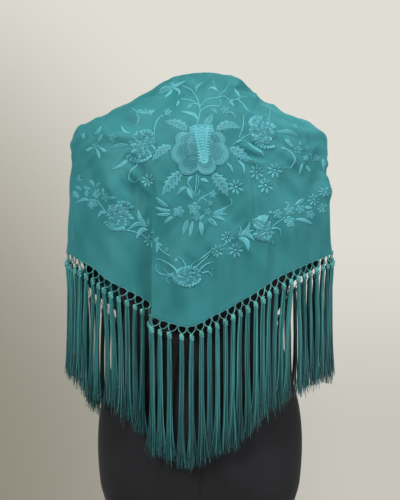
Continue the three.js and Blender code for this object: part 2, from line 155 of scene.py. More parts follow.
# %% Points round a section
def outline(rows, z, angle):
    """Points of a section: angle 0 is the back's middle, a quarter turn the right side."""
    side = smooth(rows, "z", "side", z)
    depth = np.where(
        np.cos(angle) > 0, smooth(rows, "z", "back", z), smooth(rows, "z", "front", z)
    )
    power = 2 / smooth(rows, "z", "square", z)
    x = side * np.sign(np.sin(angle)) * np.abs(np.sin(angle)) ** power
    y = -depth * np.sign(np.cos(angle)) * np.abs(np.cos(angle)) ** power
    return x, y


FORM_WIDEST = max(TORSO["side"])
print("the form is", round(2 * FORM_WIDEST), "mm wide at its shoulders")

# %% [markdown]
# A place on the shawl is given as a dressmaker would: how far round from the middle of the back, and
# at what height. One lookup of the sections at many heights turns such a place into a point, so the
# cloth, its embroidery and its fringe all follow the same surface.

# %% From round and height to a point
LEVEL_STEP = 4.0
LEVELS = np.arange(866, 1462, LEVEL_STEP)
SHARES = np.linspace(0, 1, 241)
SECTION_POINTS = 400
HEM_REFERENCE = 1100


def level_tables():
    """The sections at all levels, even along their length, and half the way round at each."""
    xs, ys, reach = [], [], []
    for z in LEVELS:
        turn = np.radians(smooth(CLOTH, "z", "opening", z)) * np.linspace(0, 1, SECTION_POINTS)
        x, y = outline(CLOTH, z, turn)
        along = np.concatenate([[0], np.cumsum(np.hypot(np.diff(x), np.diff(y)))])
        reach.append(along[-1])
        xs.append(np.interp(SHARES * along[-1], along, x))
        ys.append(np.interp(SHARES * along[-1], along, y))
    return np.array(xs), np.array(ys), np.array(reach)


RING_X, RING_Y, RING_REACH = level_tables()
REFERENCE_REACH = float(np.interp(HEM_REFERENCE, LEVELS, RING_REACH))


def reach_at(z):
    return np.interp(z, LEVELS, RING_REACH)


print(len(LEVELS), "levels; half the way round is", round(REFERENCE_REACH), "mm at", HEM_REFERENCE)

# %% Look up a place
# A place that stays this far before a grid's end always has a next point.
JUST_INSIDE = 1.001


def level_row(z):
    return np.clip((z - LEVELS[0]) / LEVEL_STEP, 0, len(LEVELS) - JUST_INSIDE)


def between(grid, row, col):
    """Values of a grid, linear between its points."""
    i, j = row.astype(int), col.astype(int)
    u, v = row - i, col - j
    low = grid[i, j] * (1 - v) + grid[i, j + 1] * v
    high = grid[i + 1, j] * (1 - v) + grid[i + 1, j + 1] * v
    return low * (1 - u) + high * u


def look_up(grid, z, share):
    """Values of a grid of levels and shares."""
    col = np.clip(share * (len(SHARES) - 1), 0, len(SHARES) - JUST_INSIDE)
    return between(grid, level_row(z), col)


def ring_point(share, z):
    """The unfolded shawl: share runs from -1, the left front edge, through the back to 1."""
    hand = np.where(share < 0, -1.0, 1.0)
    x = hand * look_up(RING_X, z, np.abs(share)) + smooth(CLOTH, "z", "shift", z)
    y = look_up(RING_Y, z, np.abs(share))
    return np.stack([x, y, z], -1)


def level_tangent(share, z, step=0.006):
    d = ring_point(np.clip(share + step, -1, 1), z) - ring_point(np.clip(share - step, -1, 1), z)
    return d / np.linalg.norm(d, axis=-1, keepdims=True)


MIDDLE = ring_point(np.zeros(1), np.array([1250.0]))[0]
print("the middle of the back at 1250 mm:", MIDDLE.round().tolist())

# %% [markdown]
# Cloth that hangs from the shoulders drops in folds. A fold here is a trough that grows with the drop:
# round is its middle, left and right its reach, depth goes inwards, and lean slides it sideways so that
# the cloth beside it hangs over. The deep fold left of the middle is the one that catches the eye.
# Creases are finer: a ridge or a trough along a line, drawn where cloth drags from the neck to the
# shoulders.

# %% Folds and creases
FOLDS = table(
    "round left right depth lean starts full",
    (-88, 58, 13, 17, 9, 1290, 1120),
    (-176, 26, 30, 4, 0, 1260, 1150),
    (20, 20, 18, 4, 0, 1270, 1120),
    (66, 22, 20, 4.5, 0, 1290, 1130),
    (118, 26, 24, 5, 0, 1280, 1150),
    (186, 28, 26, 4, 0, 1240, 1160),
    (-322, 34, 30, 17, -4, 1345, 1180),
    (-398, 30, 32, 20, -4, 1330, 1140),
    (-470, 26, 28, 17, -3, 1290, 1080),
    (318, 30, 32, 15, 4, 1345, 1190),
    (388, 32, 30, 19, 4, 1335, 1140),
    (462, 28, 27, 18, 3, 1300, 1090),
)
# From (a, z) to (b, y): places round the cloth and heights. wide is a crease's half width, rise is
# outwards where positive.
CREASES = table(
    "a z b y wide rise",
    (-150, 1374, -72, 1360, 8, -2.4),
    (-140, 1386, -60, 1392, 6, 2.2),
    (-132, 1395, -50, 1412, 6, 2.4),
    (-118, 1402, -44, 1424, 5, -2.0),
    (-96, 1412, -34, 1438, 5, 2.0),
    (-172, 1362, -92, 1346, 8, 2.6),
    (-40, 1442, -6, 1424, 6, 1.8),
    (58, 1428, 104, 1398, 6, 2.2),
    (50, 1420, 96, 1390, 6, 2.6),
    (60, 1408, 122, 1372, 7, -2.2),
    (84, 1404, 150, 1376, 7, 2.6),
    (34, 1440, 66, 1424, 5, 1.8),
    (118, 1374, 176, 1352, 8, 2.4),
    (70, 1346, 104, 1330, 6, -2.4),
    (62, 1337, 100, 1320, 5, 2.2),
    (56, 1330, 110, 1312, 5, -2.4),
    (60, 1320, 104, 1303, 5, 2.2),
    (-74, 1306, -66, 1216, 8, 3.2),
    (-92, 1300, -104, 1228, 12, -4.2),
    (-122, 1322, -84, 1294, 8, -2.6),
    (-116, 1310, -78, 1262, 7, 2.4),
    (-160, 1310, -128, 1222, 13, 3.2),
    (-196, 1330, -176, 1240, 14, -3.4),
    (-150, 1300, -190, 1180, 12, 2.4),
    (-28, 1232, -38, 1168, 12, -2.0),
    (-32, 1164, -26, 1076, 13, 3.0),
    (-54, 1232, -50, 1110, 11, -2.2),
    (-6, 1190, -2, 1070, 10, -2.4),
    (20, 1196, 22, 1076, 9, 2.0),
    (44, 1206, 46, 1088, 11, 2.6),
    (70, 1306, 76, 1200, 9, 2.8),
    (88, 1300, 92, 1206, 9, -3.0),
    (92, 1216, 96, 1114, 12, 2.8),
    (122, 1226, 124, 1122, 11, -2.4),
    (146, 1236, 150, 1140, 13, 2.6),
    (200, 1352, 192, 1256, 15, -1.8),
    (224, 1338, 214, 1254, 12, 3.4),
    (150, 1304, 190, 1262, 12, -1.6),
    (128, 1326, 172, 1290, 8, 2.2),
    (32, 1272, 52, 1206, 11, -4.2),
    (126, 1298, 160, 1238, 12, -3.0),
    (204, 1302, 262, 1296, 8, -3.6),
    (190, 1270, 250, 1264, 11, 2.6),
    (-226, 1300, -214, 1176, 14, 3.2),
    (-252, 1330, -246, 1180, 13, -3.8),
    (236, 1290, 232, 1176, 14, 3.0),
    (262, 1320, 258, 1180, 13, -3.6),
)
print(len(FOLDS["round"]), "folds and", len(CREASES["a"]), "creases")

# %% The cloth with its folds and creases
# All the rises of the table are deepened together by this. A crease bows by this share of its length,
# and fades out at this share of its length from its middle.
CREASE_GAIN = 2.2
CREASE_BOW = 0.06
CREASE_REACH = 0.62
# Heights in millimetres: fine ripples and slow waves all over, drag lines across the shoulders, and
# tucks where the embroidery draws the crepe in.
RIPPLE = 1.2
DRIFT = 1.5
DRAG = 1.3
TUCKS = 2.0
YOKE_HEIGHT = 1368


def fold_shift(share, z):
    """How far the folds move the cloth inwards and to the right."""
    place = share * REFERENCE_REACH
    inwards = np.zeros_like(place)
    sideways = np.zeros_like(place)
    for fold in rows_of(FOLDS):
        away = place - fold["round"]
        bell = ease(1 - np.abs(away) / np.where(away < 0, fold["left"], fold["right"]))
        grown = ease((fold["starts"] - z) / (fold["starts"] - fold["full"]))
        inwards += fold["depth"] * bell * grown
        sideways += fold["lean"] * bell * grown
    return inwards, sideways


def folded_point(share, z):
    tangent = level_tangent(share, z)
    outwards = np.stack([tangent[..., 1], -tangent[..., 0], np.zeros_like(z)], -1)
    inwards, sideways = fold_shift(share, z)
    return ring_point(share, z) - outwards * inwards[..., None] + tangent * sideways[..., None]


def drawn_creases(place, z):
    """The height of the table's creases, each a soft ridge that bows to one side or the other."""
    height = np.zeros_like(place)
    for k, (a, za, b, zb, wide, rise) in enumerate(zip(*CREASES.values())):
        length = math.hypot(b - a, zb - za)
        t = ((place - a) * (b - a) + (z - za) * (zb - za)) / length**2
        bow = CREASE_BOW * length * np.sin(np.pi * np.clip(t, 0, 1)) * (1 if k % 2 else -1)
        off = ((place - a) * (zb - za) - (z - za) * (b - a)) / length - bow
        ends = ease(1 - np.abs(t - 0.5) / CREASE_REACH)
        height += rise * ends * np.exp(-((off / wide) ** 2))
    return height


def crease_height(share, z):
    """How far the cloth rises from its folds. The sines' lengths are in millimetres."""
    place = share * reach_at(z)
    ripple = RIPPLE * np.sin(place / 8.3 + 1.9 * np.sin(z / 31)) * np.sin(z / 19 + place / 47)
    worked = ease((z - hem_height(share) - 30) / 60) * ease((260 - np.abs(place)) / 60)
    lines = np.sin(place / 6.1 + 2.4 * np.sin(z / 17 + 1)) * np.sin(z / 10.5 - place / 23)
    tucks = TUCKS * worked * ease(lines) * (0.6 + 0.4 * np.sin(place / 61 + z / 37))
    drift = DRIFT * np.sin(place / 37 + z / 61) * np.sin(z / 45 - place / 73)
    yoke = np.exp(-(((z - YOKE_HEIGHT) / 44) ** 2)) * ease((np.abs(place) - 30) / 60)
    drag = DRAG * yoke * np.sin(z / 3.9 + np.abs(place) / 17 + 1.6 * np.sin(place / 21))
    return CREASE_GAIN * drawn_creases(place, z) + ripple + drift + drag + tucks


def cloth_surface(share, z):
    """Points of the finished cloth's middle and the directions that point away from the form."""
    step_z = 1.5
    step_s = 1.5 / REFERENCE_REACH
    here = folded_point(share, z)
    across = folded_point(share + step_s, z) - folded_point(share - step_s, z)
    up = folded_point(share, z + step_z) - folded_point(share, z - step_z)
    normal = np.cross(across, up)
    normal /= np.maximum(np.linalg.norm(normal, axis=-1, keepdims=True), 1e-9)
    return here + normal * crease_height(share, z)[..., None], normal


FOLD_MIDDLES = FOLDS["round"] / REFERENCE_REACH
DEEPEST = fold_shift(FOLD_MIDDLES, np.full(len(FOLD_MIDDLES), float(HEM_REFERENCE)))[0].max()
print("the deepest fold reaches", round(float(DEEPEST), 1), "mm inwards")

# %% [markdown]
# The fringe is tied through the hem at even steps, and each knot puckers the hem a little. So the
# hem is measured first, leg by leg, from the tip at the back to the two front corners.

# %% The hem and its knots
KNOT_PITCH = 14
KNOTS_PER_SIDE = 52
TIP_SHARE = -20 / REFERENCE_REACH


def hem_height(share):
    return smooth(HEM, "round", "z", share * REFERENCE_REACH)


def neck_height(share):
    return smooth(NECK_EDGE, "share", "z", np.abs(share))


def knot_shares(hand):
    shares = np.linspace(TIP_SHARE, hand, 901)
    steps = np.diff(folded_point(shares, hem_height(shares)), axis=0)
    along = np.concatenate([[0], np.cumsum(np.linalg.norm(steps, axis=1))])
    count = min(KNOTS_PER_SIDE, round(along[-1] / KNOT_PITCH))
    return np.interp(np.linspace(0, along[-1], count + 1), along, shares), along[-1]


LEFT_KNOTS, LEFT_HEM = knot_shares(-1)
RIGHT_KNOTS, RIGHT_HEM = knot_shares(1)
ALL_KNOTS = np.concatenate([LEFT_KNOTS[:0:-1], RIGHT_KNOTS])
print("hem legs:", round(LEFT_HEM), "and", round(RIGHT_HEM), "mm,", len(ALL_KNOTS), "ties")
LAST_TIE = len(ALL_KNOTS) - 1
TIP_TIE = len(LEFT_KNOTS) - 1


def tie_share(index):
    """The share of the way round at a tie's number, or between two ties."""
    return np.interp(index, np.arange(len(ALL_KNOTS)), ALL_KNOTS)


def scallop(share):
    """How far the hem rises between two ties."""
    place = np.interp(share, ALL_KNOTS, np.arange(len(ALL_KNOTS)))
    return 0.5 - 0.5 * np.cos(2 * np.pi * place)


print("the tip's tie is number", TIP_TIE, "of", LAST_TIE)

# %% [markdown]
# Cycles reads every finish as a graph of nodes. One class wraps a socket so that a finish can be
# written as a sum, and one method adds any node: its settings first, then its sockets. Geometry
# Nodes use the same method, so the net's cords, its knots and the fringe are graphs as well.

# %% Sums of sockets
class Link:
    """A node's output that takes part in sums."""

    def __init__(self, graph, socket):
        self.graph = graph
        self.socket = socket

    def sum(self, operation, a, b):
        return self.graph.node("ShaderNodeMath", {"operation": operation}, {0: a, 1: b})

    def __add__(self, other):
        return self.sum("ADD", self, other)

    def __mul__(self, other):
        return self.sum("MULTIPLY", self, other)

    __radd__ = __add__
    __rmul__ = __mul__


class Graph:
    """A tree of nodes, built by one method."""

    def __init__(self, tree):
        self.tree = tree

    def node(self, kind, settings=None, values=None, out=0):
        """Add a node and return one of its outputs."""
        made = self.tree.nodes.new(kind)
        for name, value in (settings or {}).items():
            setattr(made, name, value)
        for name, value in (values or {}).items():
            if isinstance(value, Link):
                self.tree.links.new(value.socket, made.inputs[name])
            else:
                made.inputs[name].default_value = value
        return Link(self, made.outputs[out]) if made.outputs else None


print("sockets can be added and multiplied")

# %% [markdown]
# A real material is never one flat value: its colour, shine and relief all vary a little. A finish
# here is one Principled shader whose inputs are sums of noise, waves and a piece's own attributes.

# %% Finishes
def tint(red, green, blue):
    """A colour given as it looks on a screen, 0 to 255, in the linear form that shaders use."""
    def linear(c):
        c /= 255
        return c / 12.92 if c <= 0.04045 else ((c + 0.055) / 1.055) ** 2.4

    return (linear(red), linear(green), linear(blue), 1)


print("one of the crepe's colours for a shader:", [round(c, 3) for c in tint(40, 106, 110)])


# %% Graphs of shaders
class Shading(Graph):
    """A shader's tree, for a finish or for the room round the piece."""

    def parts(self, vector):
        made = self.node("ShaderNodeSeparateXYZ", values={0: vector}).socket.node
        return [Link(self, socket) for socket in made.outputs]

    def rise(self, value, low, high, to_low=0.0, to_high=1.0):
        """A soft step from to_low to to_high as the value goes from low to high."""
        values = {"Value": value, "From Min": low, "From Max": high}
        values |= {"To Min": to_low, "To Max": to_high}
        return self.node("ShaderNodeMapRange", {"interpolation_type": "SMOOTHSTEP"}, values)

    def mix(self, factor, a, b):
        return self.node("ShaderNodeMix", {"data_type": "RGBA"}, {0: factor, 6: a, 7: b}, 2)


class Finish(Shading):
    """A material with one Principled shader."""

    def __init__(self, name):
        self.material = bpy.data.materials.new(name)
        self.material.use_nodes = True
        super().__init__(self.material.node_tree)
        self.tree.nodes.clear()

    def object_place(self):
        return self.node("ShaderNodeTexCoord", out="Object")

    def chart(self):
        return self.node("ShaderNodeUVMap", {"uv_map": "chart"})

    def attribute(self, name):
        return self.node("ShaderNodeAttribute", {"attribute_name": name}, out="Fac")

    def stretch(self, vector, x, y, z=1):
        values = {0: vector, 1: (x, y, z)}
        return self.node("ShaderNodeVectorMath", {"operation": "MULTIPLY"}, values)

    def noise(self, place, scale, detail=2.0, rough=0.5):
        values = {"Vector": place, "Scale": scale, "Detail": detail, "Roughness": rough}
        return self.node("ShaderNodeTexNoise", values=values)

    def wave(self, phase):
        """A sine between 0 and 1."""
        return self.node("ShaderNodeMath", {"operation": "SINE"}, {0: phase}) * 0.5 + 0.5

    def bump(self, height, distance, strength=1.0):
        values = {"Height": height, "Distance": distance, "Strength": strength}
        return self.node("ShaderNodeBump", values=values)

    def surface(self, values):
        shader = self.node("ShaderNodeBsdfPrincipled", values=values)
        self.node("ShaderNodeOutputMaterial", values={"Surface": shader})
        return self.material


print("finishes are ready to be mixed")

# %% [markdown]
# What repeats along a path is easiest to keep even, and to change later, as a Geometry Nodes tree.
# Each tree has named inputs for its sizes and is run once, so what stays is a plain mesh.

# %% Geometry Nodes
class Maker(Graph):
    """A Geometry Nodes tree with named inputs, which ends in real faces with one material."""

    def __init__(self, name, **inputs):
        tree = bpy.data.node_groups.new(name, "GeometryNodeTree")
        super().__init__(tree)
        face = tree.interface
        face.new_socket("Geometry", in_out="INPUT", socket_type="NodeSocketGeometry")
        face.new_socket("Geometry", in_out="OUTPUT", socket_type="NodeSocketGeometry")
        kinds = {float: "NodeSocketFloat", int: "NodeSocketInt"}
        self.keys = {}
        self.given = inputs
        for label, value in inputs.items():
            kind = kinds.get(type(value), "NodeSocketObject")
            self.keys[label] = face.new_socket(label, in_out="INPUT", socket_type=kind).identifier
        self.start = tree.nodes.new("NodeGroupInput")

    def input(self, name):
        return Link(self, self.start.outputs[name])

    def named(self, name):
        return self.node("GeometryNodeInputNamedAttribute", {"data_type": "FLOAT"}, {"Name": name})

    def end(self, geometry, material):
        real = self.node("GeometryNodeRealizeInstances", values={0: geometry})
        values = {"Geometry": real, "Material": material}
        done = self.node("GeometryNodeSetMaterial", values=values)
        self.node("NodeGroupOutput", values={0: done})

    def apply(self, piece):
        """Run the tree on a piece and keep its result as a plain mesh."""
        modifier = piece.modifiers.new("maker", "NODES")
        modifier.node_group = self.tree
        for label, key in self.keys.items():
            modifier[key] = self.given[label]
        depsgraph = bpy.context.evaluated_depsgraph_get()
        mesh = bpy.data.meshes.new_from_object(piece.evaluated_get(depsgraph))
        piece.modifiers.remove(modifier)
        piece.data = mesh
        mesh.name = piece.name
        return piece


print("blender", bpy.app.version_string)

# %% [markdown]
# A mesh is a list of points and a list of faces. Cloth, petals and the form are all grids of points
# here, so one helper lists a grid's faces, and another makes the piece, with its UV map "chart" in
# metres of cloth where a finish follows the weave.

# %% Grids and pieces
def grid_faces(rows, columns, closed=False):
    """Faces of a grid whose rows run down and whose columns run right, seen from outside."""
    steps = columns if closed else columns - 1
    i, j = np.meshgrid(np.arange(rows - 1), np.arange(steps), indexing="ij")
    k = (j + 1) % columns
    corners = [i * columns + j, (i + 1) * columns + j, (i + 1) * columns + k, i * columns + k]
    return np.stack(corners, -1).reshape(-1, 4)


def new_object(name, mesh):
    piece = bpy.data.objects.new(name, mesh)
    bpy.context.scene.collection.objects.link(piece)
    return piece


def point_values(mesh, name, values):
    mesh.attributes.new(name, "FLOAT", "POINT").data.foreach_set("value", values)


def new_piece(name, points, faces, material, chart=None):
    """A smooth piece at the origin from points in millimetres."""
    mesh = bpy.data.meshes.new(name)
    mesh.from_pydata((np.asarray(points, float).reshape(-1, 3) * MM).tolist(), [], faces)
    mesh.materials.append(material)
    mesh.polygons.foreach_set("use_smooth", [True] * len(mesh.polygons))
    if chart is not None:
        corner = np.empty(len(mesh.loops), int)
        mesh.loops.foreach_get("vertex_index", corner)
        layer = mesh.uv_layers.new(name="chart")
        layer.data.foreach_set("uv", np.asarray(chart, float).reshape(-1, 2)[corner].ravel())
    return new_object(name, mesh)


print("a grid of 3 by 4 points has", len(grid_faces(3, 4)), "faces")


# %% Chains of edges
def wires(name, paths, **attributes):
    """A piece of bare edges, one chain for each path, for a Geometry Nodes sweep."""
    points = np.concatenate(paths)
    chains = []
    start = 0
    for path in paths:
        chains += [(k, k + 1) for k in range(start, start + len(path) - 1)]
        start += len(path)
    mesh = bpy.data.meshes.new(name)
    mesh.from_pydata((points * MM).tolist(), chains, [])
    for label, values in attributes.items():
        point_values(mesh, label, np.concatenate(values))
    return new_object(name, mesh)


# %% [markdown]
# The cloth is silky crepe: a matt, pebbled weave with a soft sheen and a very slight unevenness of
# dye. The finish takes its grain from the chart, so that it follows the folds.

# %% The crepe's finish
CREPE_DEEP = tint(23, 89, 92)
CREPE_LIGHT = tint(40, 106, 110)


def crepe_finish():
    finish = Finish("turquoise_crepe")
    chart = finish.chart()
    cloud = finish.noise(chart, 9, 3)
    slub = finish.noise(finish.stretch(chart, 900, 60), 1, 2)
    pebble = finish.noise(finish.stretch(chart, 1500, 1100), 1, 2, 0.6)
    tone = cloud * 0.7 + slub * 0.15 + pebble * 0.15
    colour = finish.mix(finish.rise(tone, 0.3, 0.7), CREPE_DEEP, CREPE_LIGHT)
    return finish.surface({
        "Base Color": colour,
        "Roughness": finish.rise(pebble, 0.2, 0.8, 0.56, 0.72),
        "Normal": finish.bump(pebble * 0.7 + slub * 0.3, 0.00025, 0.6),
        "Specular IOR Level": 0.18,
        "Sheen Weight": 0.22,
        "Sheen Roughness": 0.45,
        "Sheen Tint": tint(120, 225, 230),
    })


CREPE = crepe_finish()
print("finish:", CREPE.name)

# %% [markdown]
# The real shawl is one large triangle of silk crepe, worn with its long edge round the neck and its
# point down the back. A simulation would drop it on the form, but the folds would fall where they
# like. Here the shell is one dense grid on the same surface as the solid, so that each fold and
# crease lies where it is seen, and it is thinner than its solid, as silk is. Its lower edge is
# drawn in a little where each cord of the net pierces it.

# %% The cloth
CREPE_THICK = 0.9
CLOTH_ROWS = 118
BACK_SHARE = 0.55
BACK_COLUMNS = 5
FRONT_COLUMNS = 2
PUCKER = 0.7
PUCKER_FADE = 7
SCALLOP = 1.2
SCALLOP_FADE = 5
# The nearest that a crease may bring the crepe's middle to the dress form.
SEAT = 0.6


def cloth_columns():
    """Shares of the cloth's columns: five to a tie where the folds are sharp, two in front."""
    shares = []
    for a, b in zip(ALL_KNOTS[:-1], ALL_KNOTS[1:]):
        parts = BACK_COLUMNS if abs(a + b) < 2 * BACK_SHARE else FRONT_COLUMNS
        shares += list(a + (b - a) * np.arange(parts) / parts)
    return np.array(shares + [ALL_KNOTS[-1]])


def hem_waves(share, z):
    """The hem's small life: the height it rises between ties and how far it puckers outwards."""
    above = np.maximum(z - hem_height(share), 0)
    up = SCALLOP * scallop(share) * np.exp(-above / SCALLOP_FADE)
    out = PUCKER * (0.5 - scallop(share)) * np.exp(-above / PUCKER_FADE)
    return up, out


print("columns of the crepe:", len(cloth_columns()))


# %% Keep the crepe off the form
def torso_room(points, normals):
    """How far the cloth's points lie from the dress form."""
    z = points[..., 2]
    inside = np.clip(z, TORSO["z"][0], TORSO["z"][-1])
    side = smooth(TORSO, "z", "side", inside)
    front = smooth(TORSO, "z", "front", inside)
    back = smooth(TORSO, "z", "back", inside)
    depth = np.where(points[..., 1] < 0, back, front)
    square = smooth(TORSO, "z", "square", inside)
    x, y = np.abs(points[..., 0]) / side, np.abs(points[..., 1]) / depth
    radial = (x**square + y**square) ** (1 / square)
    gap = (radial - 1) / np.maximum(radial, 0.1) * np.hypot(points[..., 0], points[..., 1])
    return np.maximum(gap * np.hypot(normals[..., 0], normals[..., 1]), 0)


def dressed_surface(share, z):
    """The cloth's middle with creases, puckers and scallops, kept off the dress form."""
    up, out = hem_waves(share, z)
    z = z + up
    bare = folded_point(share, z)
    crease, normal = cloth_surface(share, z)
    rise = np.einsum("...k,...k", crease - bare, normal) + out
    room = np.maximum(torso_room(bare, normal) - SEAT, 0)
    rise = np.maximum(rise, -room)
    return bare + normal * rise[..., None], normal


SHOULDER = np.array([0.45]), np.array([1350.0])
SHOULDER_ROOM = torso_room(folded_point(*SHOULDER), dressed_surface(*SHOULDER)[1])
print("room under the crepe beside the right shoulder:", SHOULDER_ROOM.round(1).tolist(), "mm")


# %% The crepe shell
def make_cloth():
    shares = cloth_columns()
    down = np.linspace(0, 1, CLOTH_ROWS)[:, None]
    top = neck_height(shares)[None]
    z = top + (hem_height(shares)[None] - top) * down
    share = np.broadcast_to(shares, z.shape)
    points, _ = dressed_surface(share, z)
    chart = np.stack([share * REFERENCE_REACH, z], -1) * MM
    faces = grid_faces(*z.shape).tolist()
    piece = new_piece("shawl_crepe", points, faces, CREPE, chart)
    wall = piece.modifiers.new("thickness", "SOLIDIFY")
    wall.thickness = CREPE_THICK * MM
    wall.offset = 0
    wall.use_even_offset = False
    return piece


CLOTH_PIECE = make_cloth()
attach(CLOTH_PIECE, "root")
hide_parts("shawl_cloth")
print("cloth:", len(CLOTH_PIECE.data.polygons), "faces on one side")

# %% [markdown]
# The edge of a shawl is rolled between two fingers and whipped down with tiny stitches. The roll is
# a thin tube swept along the hem, up the front edges and round the neck by a Geometry Nodes tree.

# %% The rolled hem
HEM_RADIUS = 0.85
HEM_SIDES = 6


def edge_path():
    """The shawl's whole edge: the hem, up the right front, round the neck, down the left front."""
    hem_share = tie_share(np.linspace(0, LAST_TIE, LAST_TIE * 4 + 1))
    neck_share = np.linspace(1, -1, 260)
    front = np.linspace(0, 1, 90)[1:-1]
    top = neck_height(1)
    left_end, right_end = hem_height(np.array([-1.0, 1.0]))
    legs = [
        (hem_share, hem_height(hem_share)),
        (np.ones_like(front), right_end + (top - right_end) * front),
        (neck_share, neck_height(neck_share)),
        (-np.ones_like(front), top + (left_end - top) * front),
    ]
    share = np.concatenate([leg[0] for leg in legs])
    z = np.concatenate([leg[1] for leg in legs])
    points, _ = dressed_surface(share, z)
    return np.concatenate([points, points[:1]])


EDGE = edge_path()
print("the shawl's edge has", len(EDGE), "points")


# %% Sweep a round body along chains of edges
def sweep_maker(name, material, radius, sides):
    """A tree that gives every chain of edges a round body; thin scales it along its length."""
    maker = Maker(name, Radius=radius * MM, Sides=sides)
    curve = maker.node("GeometryNodeMeshToCurve", values={0: maker.input("Geometry")})
    ring_values = {"Resolution": maker.input("Sides"), "Radius": maker.input("Radius")}
    ring = maker.node("GeometryNodeCurvePrimitiveCircle", values=ring_values)
    body_values = {"Curve": curve, "Profile Curve": ring, "Fill Caps": True}
    body_values["Scale"] = maker.named("thin")
    maker.end(maker.node("GeometryNodeCurveToMesh", values=body_values), material)
    return maker


def hem_finish():
    finish = Finish("rolled_hem")
    place = finish.object_place()
    stitch = finish.noise(place, 700, 1)
    cloud = finish.noise(place, 30, 2)
    colour = finish.mix(finish.rise(stitch, 0.35, 0.65), tint(26, 92, 96), tint(48, 130, 136))
    return finish.surface({
        "Base Color": finish.mix(cloud * 0.3, colour, CREPE_LIGHT),
        "Roughness": 0.6,
        "Normal": finish.bump(stitch, 0.0004),
        "Sheen Weight": 0.2,
    })


HEM_PIECE = wires("shawl_rolled_hem", [EDGE], thin=[np.ones(len(EDGE))])
sweep_maker("roll_the_hem", hem_finish(), HEM_RADIUS, HEM_SIDES).apply(HEM_PIECE)
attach(HEM_PIECE, "root")
print("rolled hem:", len(HEM_PIECE.data.polygons), "faces")

# %% [markdown]
# The fringe is worked by hand. Bundles of rayon are drawn through the hem, half of each bundle is
# knotted to half of the next, and the knots leave one row of round holes. The cords of the net, the
# knots and the hanging locks repeat a hundred times, so each is a Geometry Nodes tree that sweeps or
# places a simple form on paths worked out from the ties.

# %% Places on the net
# Millimetres below the hem, out from the cloth's middle, and along the hem.
NET_DOWN = 13.2
KNOT_DOWN = 16.8
NET_OUT = 0.8
LEFT_SHIFT = -8.0
RIGHT_SHIFT = 3.2
# The net goes back to hang straight below its ties about this share of the way round.
SHIFT_ENDS = 0.62


def net_frame(index):
    """The hem point, the way along it and the way out at a place between ties, by tie number."""
    share, low, high = tie_share(index), tie_share(index - 0.5), tie_share(index + 0.5)
    here = folded_point(share, hem_height(share))
    step = folded_point(high, hem_height(high)) - folded_point(low, hem_height(low))
    along = step * (1, 1, 0)
    along /= np.linalg.norm(along, axis=-1, keepdims=True)
    out = np.stack([along[..., 1], -along[..., 0], np.zeros_like(share)], -1)
    return share, here, along, out


def net_shift(share):
    """How far the knots lie outwards on the back's legs, where the net hangs square to the hem."""
    left = ease((TIP_SHARE - share) / 0.05) * ease((share + SHIFT_ENDS) / 0.1)
    right = ease((share - TIP_SHARE) / 0.05) * ease((SHIFT_ENDS - share) / 0.1)
    return LEFT_SHIFT * left + RIGHT_SHIFT * right


print("knots lie", KNOT_DOWN, "mm below the hem")

# %% The cords of the net
# Each row is a share of the way from the tie to the hole's middle, and millimetres below the hem.
CORD_PATH = np.array([
    (0.12, -1.6), (0.13, 0.8), (0.1, 3.0), (0.13, 5.2), (0.27, 7.4), (0.52, 9.3), (0.8, 10.3),
    (0.9, 11.4), (0.94, 13.2),
])
CORD_RADIUS = 0.68
CORD_SIDES = 5


def net_cords():
    """Two cords from every tie, each to the knot on its side."""
    paths = []
    for tie in range(LAST_TIE + 1):
        _, here, along, out = net_frame(np.array([float(tie)]))
        for hand in (-1, 1):
            if not 0 <= tie + hand * 0.5 <= LAST_TIE:
                continue
            goal_share, goal, _, _ = net_frame(np.array([tie + hand * 0.5]))
            reach, down = CORD_PATH[:, :1], CORD_PATH[:, 1:]
            path = here * (1 - reach) + goal * reach
            path[:, 2:] -= down
            path += along * (net_shift(goal_share) * np.clip(down / KNOT_DOWN, 0, 1))
            lift = np.interp(down, [-1.6, 0.8, 3.0, NET_DOWN], [1.3, 1.0, 0.3, 0.8])
            paths.append(path + out * lift * (1 + 0.15 * hand))
    return paths


CORDS = net_cords()


print(len(CORDS), "cords")


# %% The net in rayon
def rayon_finish(name, deep, light, sheen):
    """Rayon floss: fine bright fibres that run along the cord."""
    finish = Finish(name)
    place = finish.object_place()
    fibre = finish.noise(finish.stretch(place, 1600, 1600, 60), 1, 2)
    cloud = finish.noise(place, 45, 2)
    colour = finish.mix(finish.rise(fibre * 0.6 + cloud * 0.4, 0.32, 0.68), deep, light)
    return finish.surface({
        "Base Color": colour,
        "Roughness": finish.rise(fibre, 0.3, 0.7, 0.36, 0.5),
        "Normal": finish.bump(fibre, 0.0004, 0.7),
        "Specular IOR Level": 0.5,
        "Sheen Weight": sheen,
        "Sheen Roughness": 0.35,
        "Sheen Tint": tint(170, 240, 230),
    })


NET_RAYON = rayon_finish("net_rayon", tint(15, 74, 78), tint(82, 164, 160), 0.1)
NET_PIECE = wires("net_cords", CORDS, thin=[np.ones(len(path)) for path in CORDS])
sweep_maker("sweep_the_cords", NET_RAYON, CORD_RADIUS, CORD_SIDES).apply(NET_PIECE)
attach(NET_PIECE, "root")
print("net:", len(CORDS), "cords,", len(NET_PIECE.data.polygons), "faces")

# %% [markdown]
# Each knot is a bead of rayon with the turns of the knot lying across it. One knot of under a
# hundred faces is made once and placed on every point by Geometry Nodes, turned and sized by two
# attributes of the points.

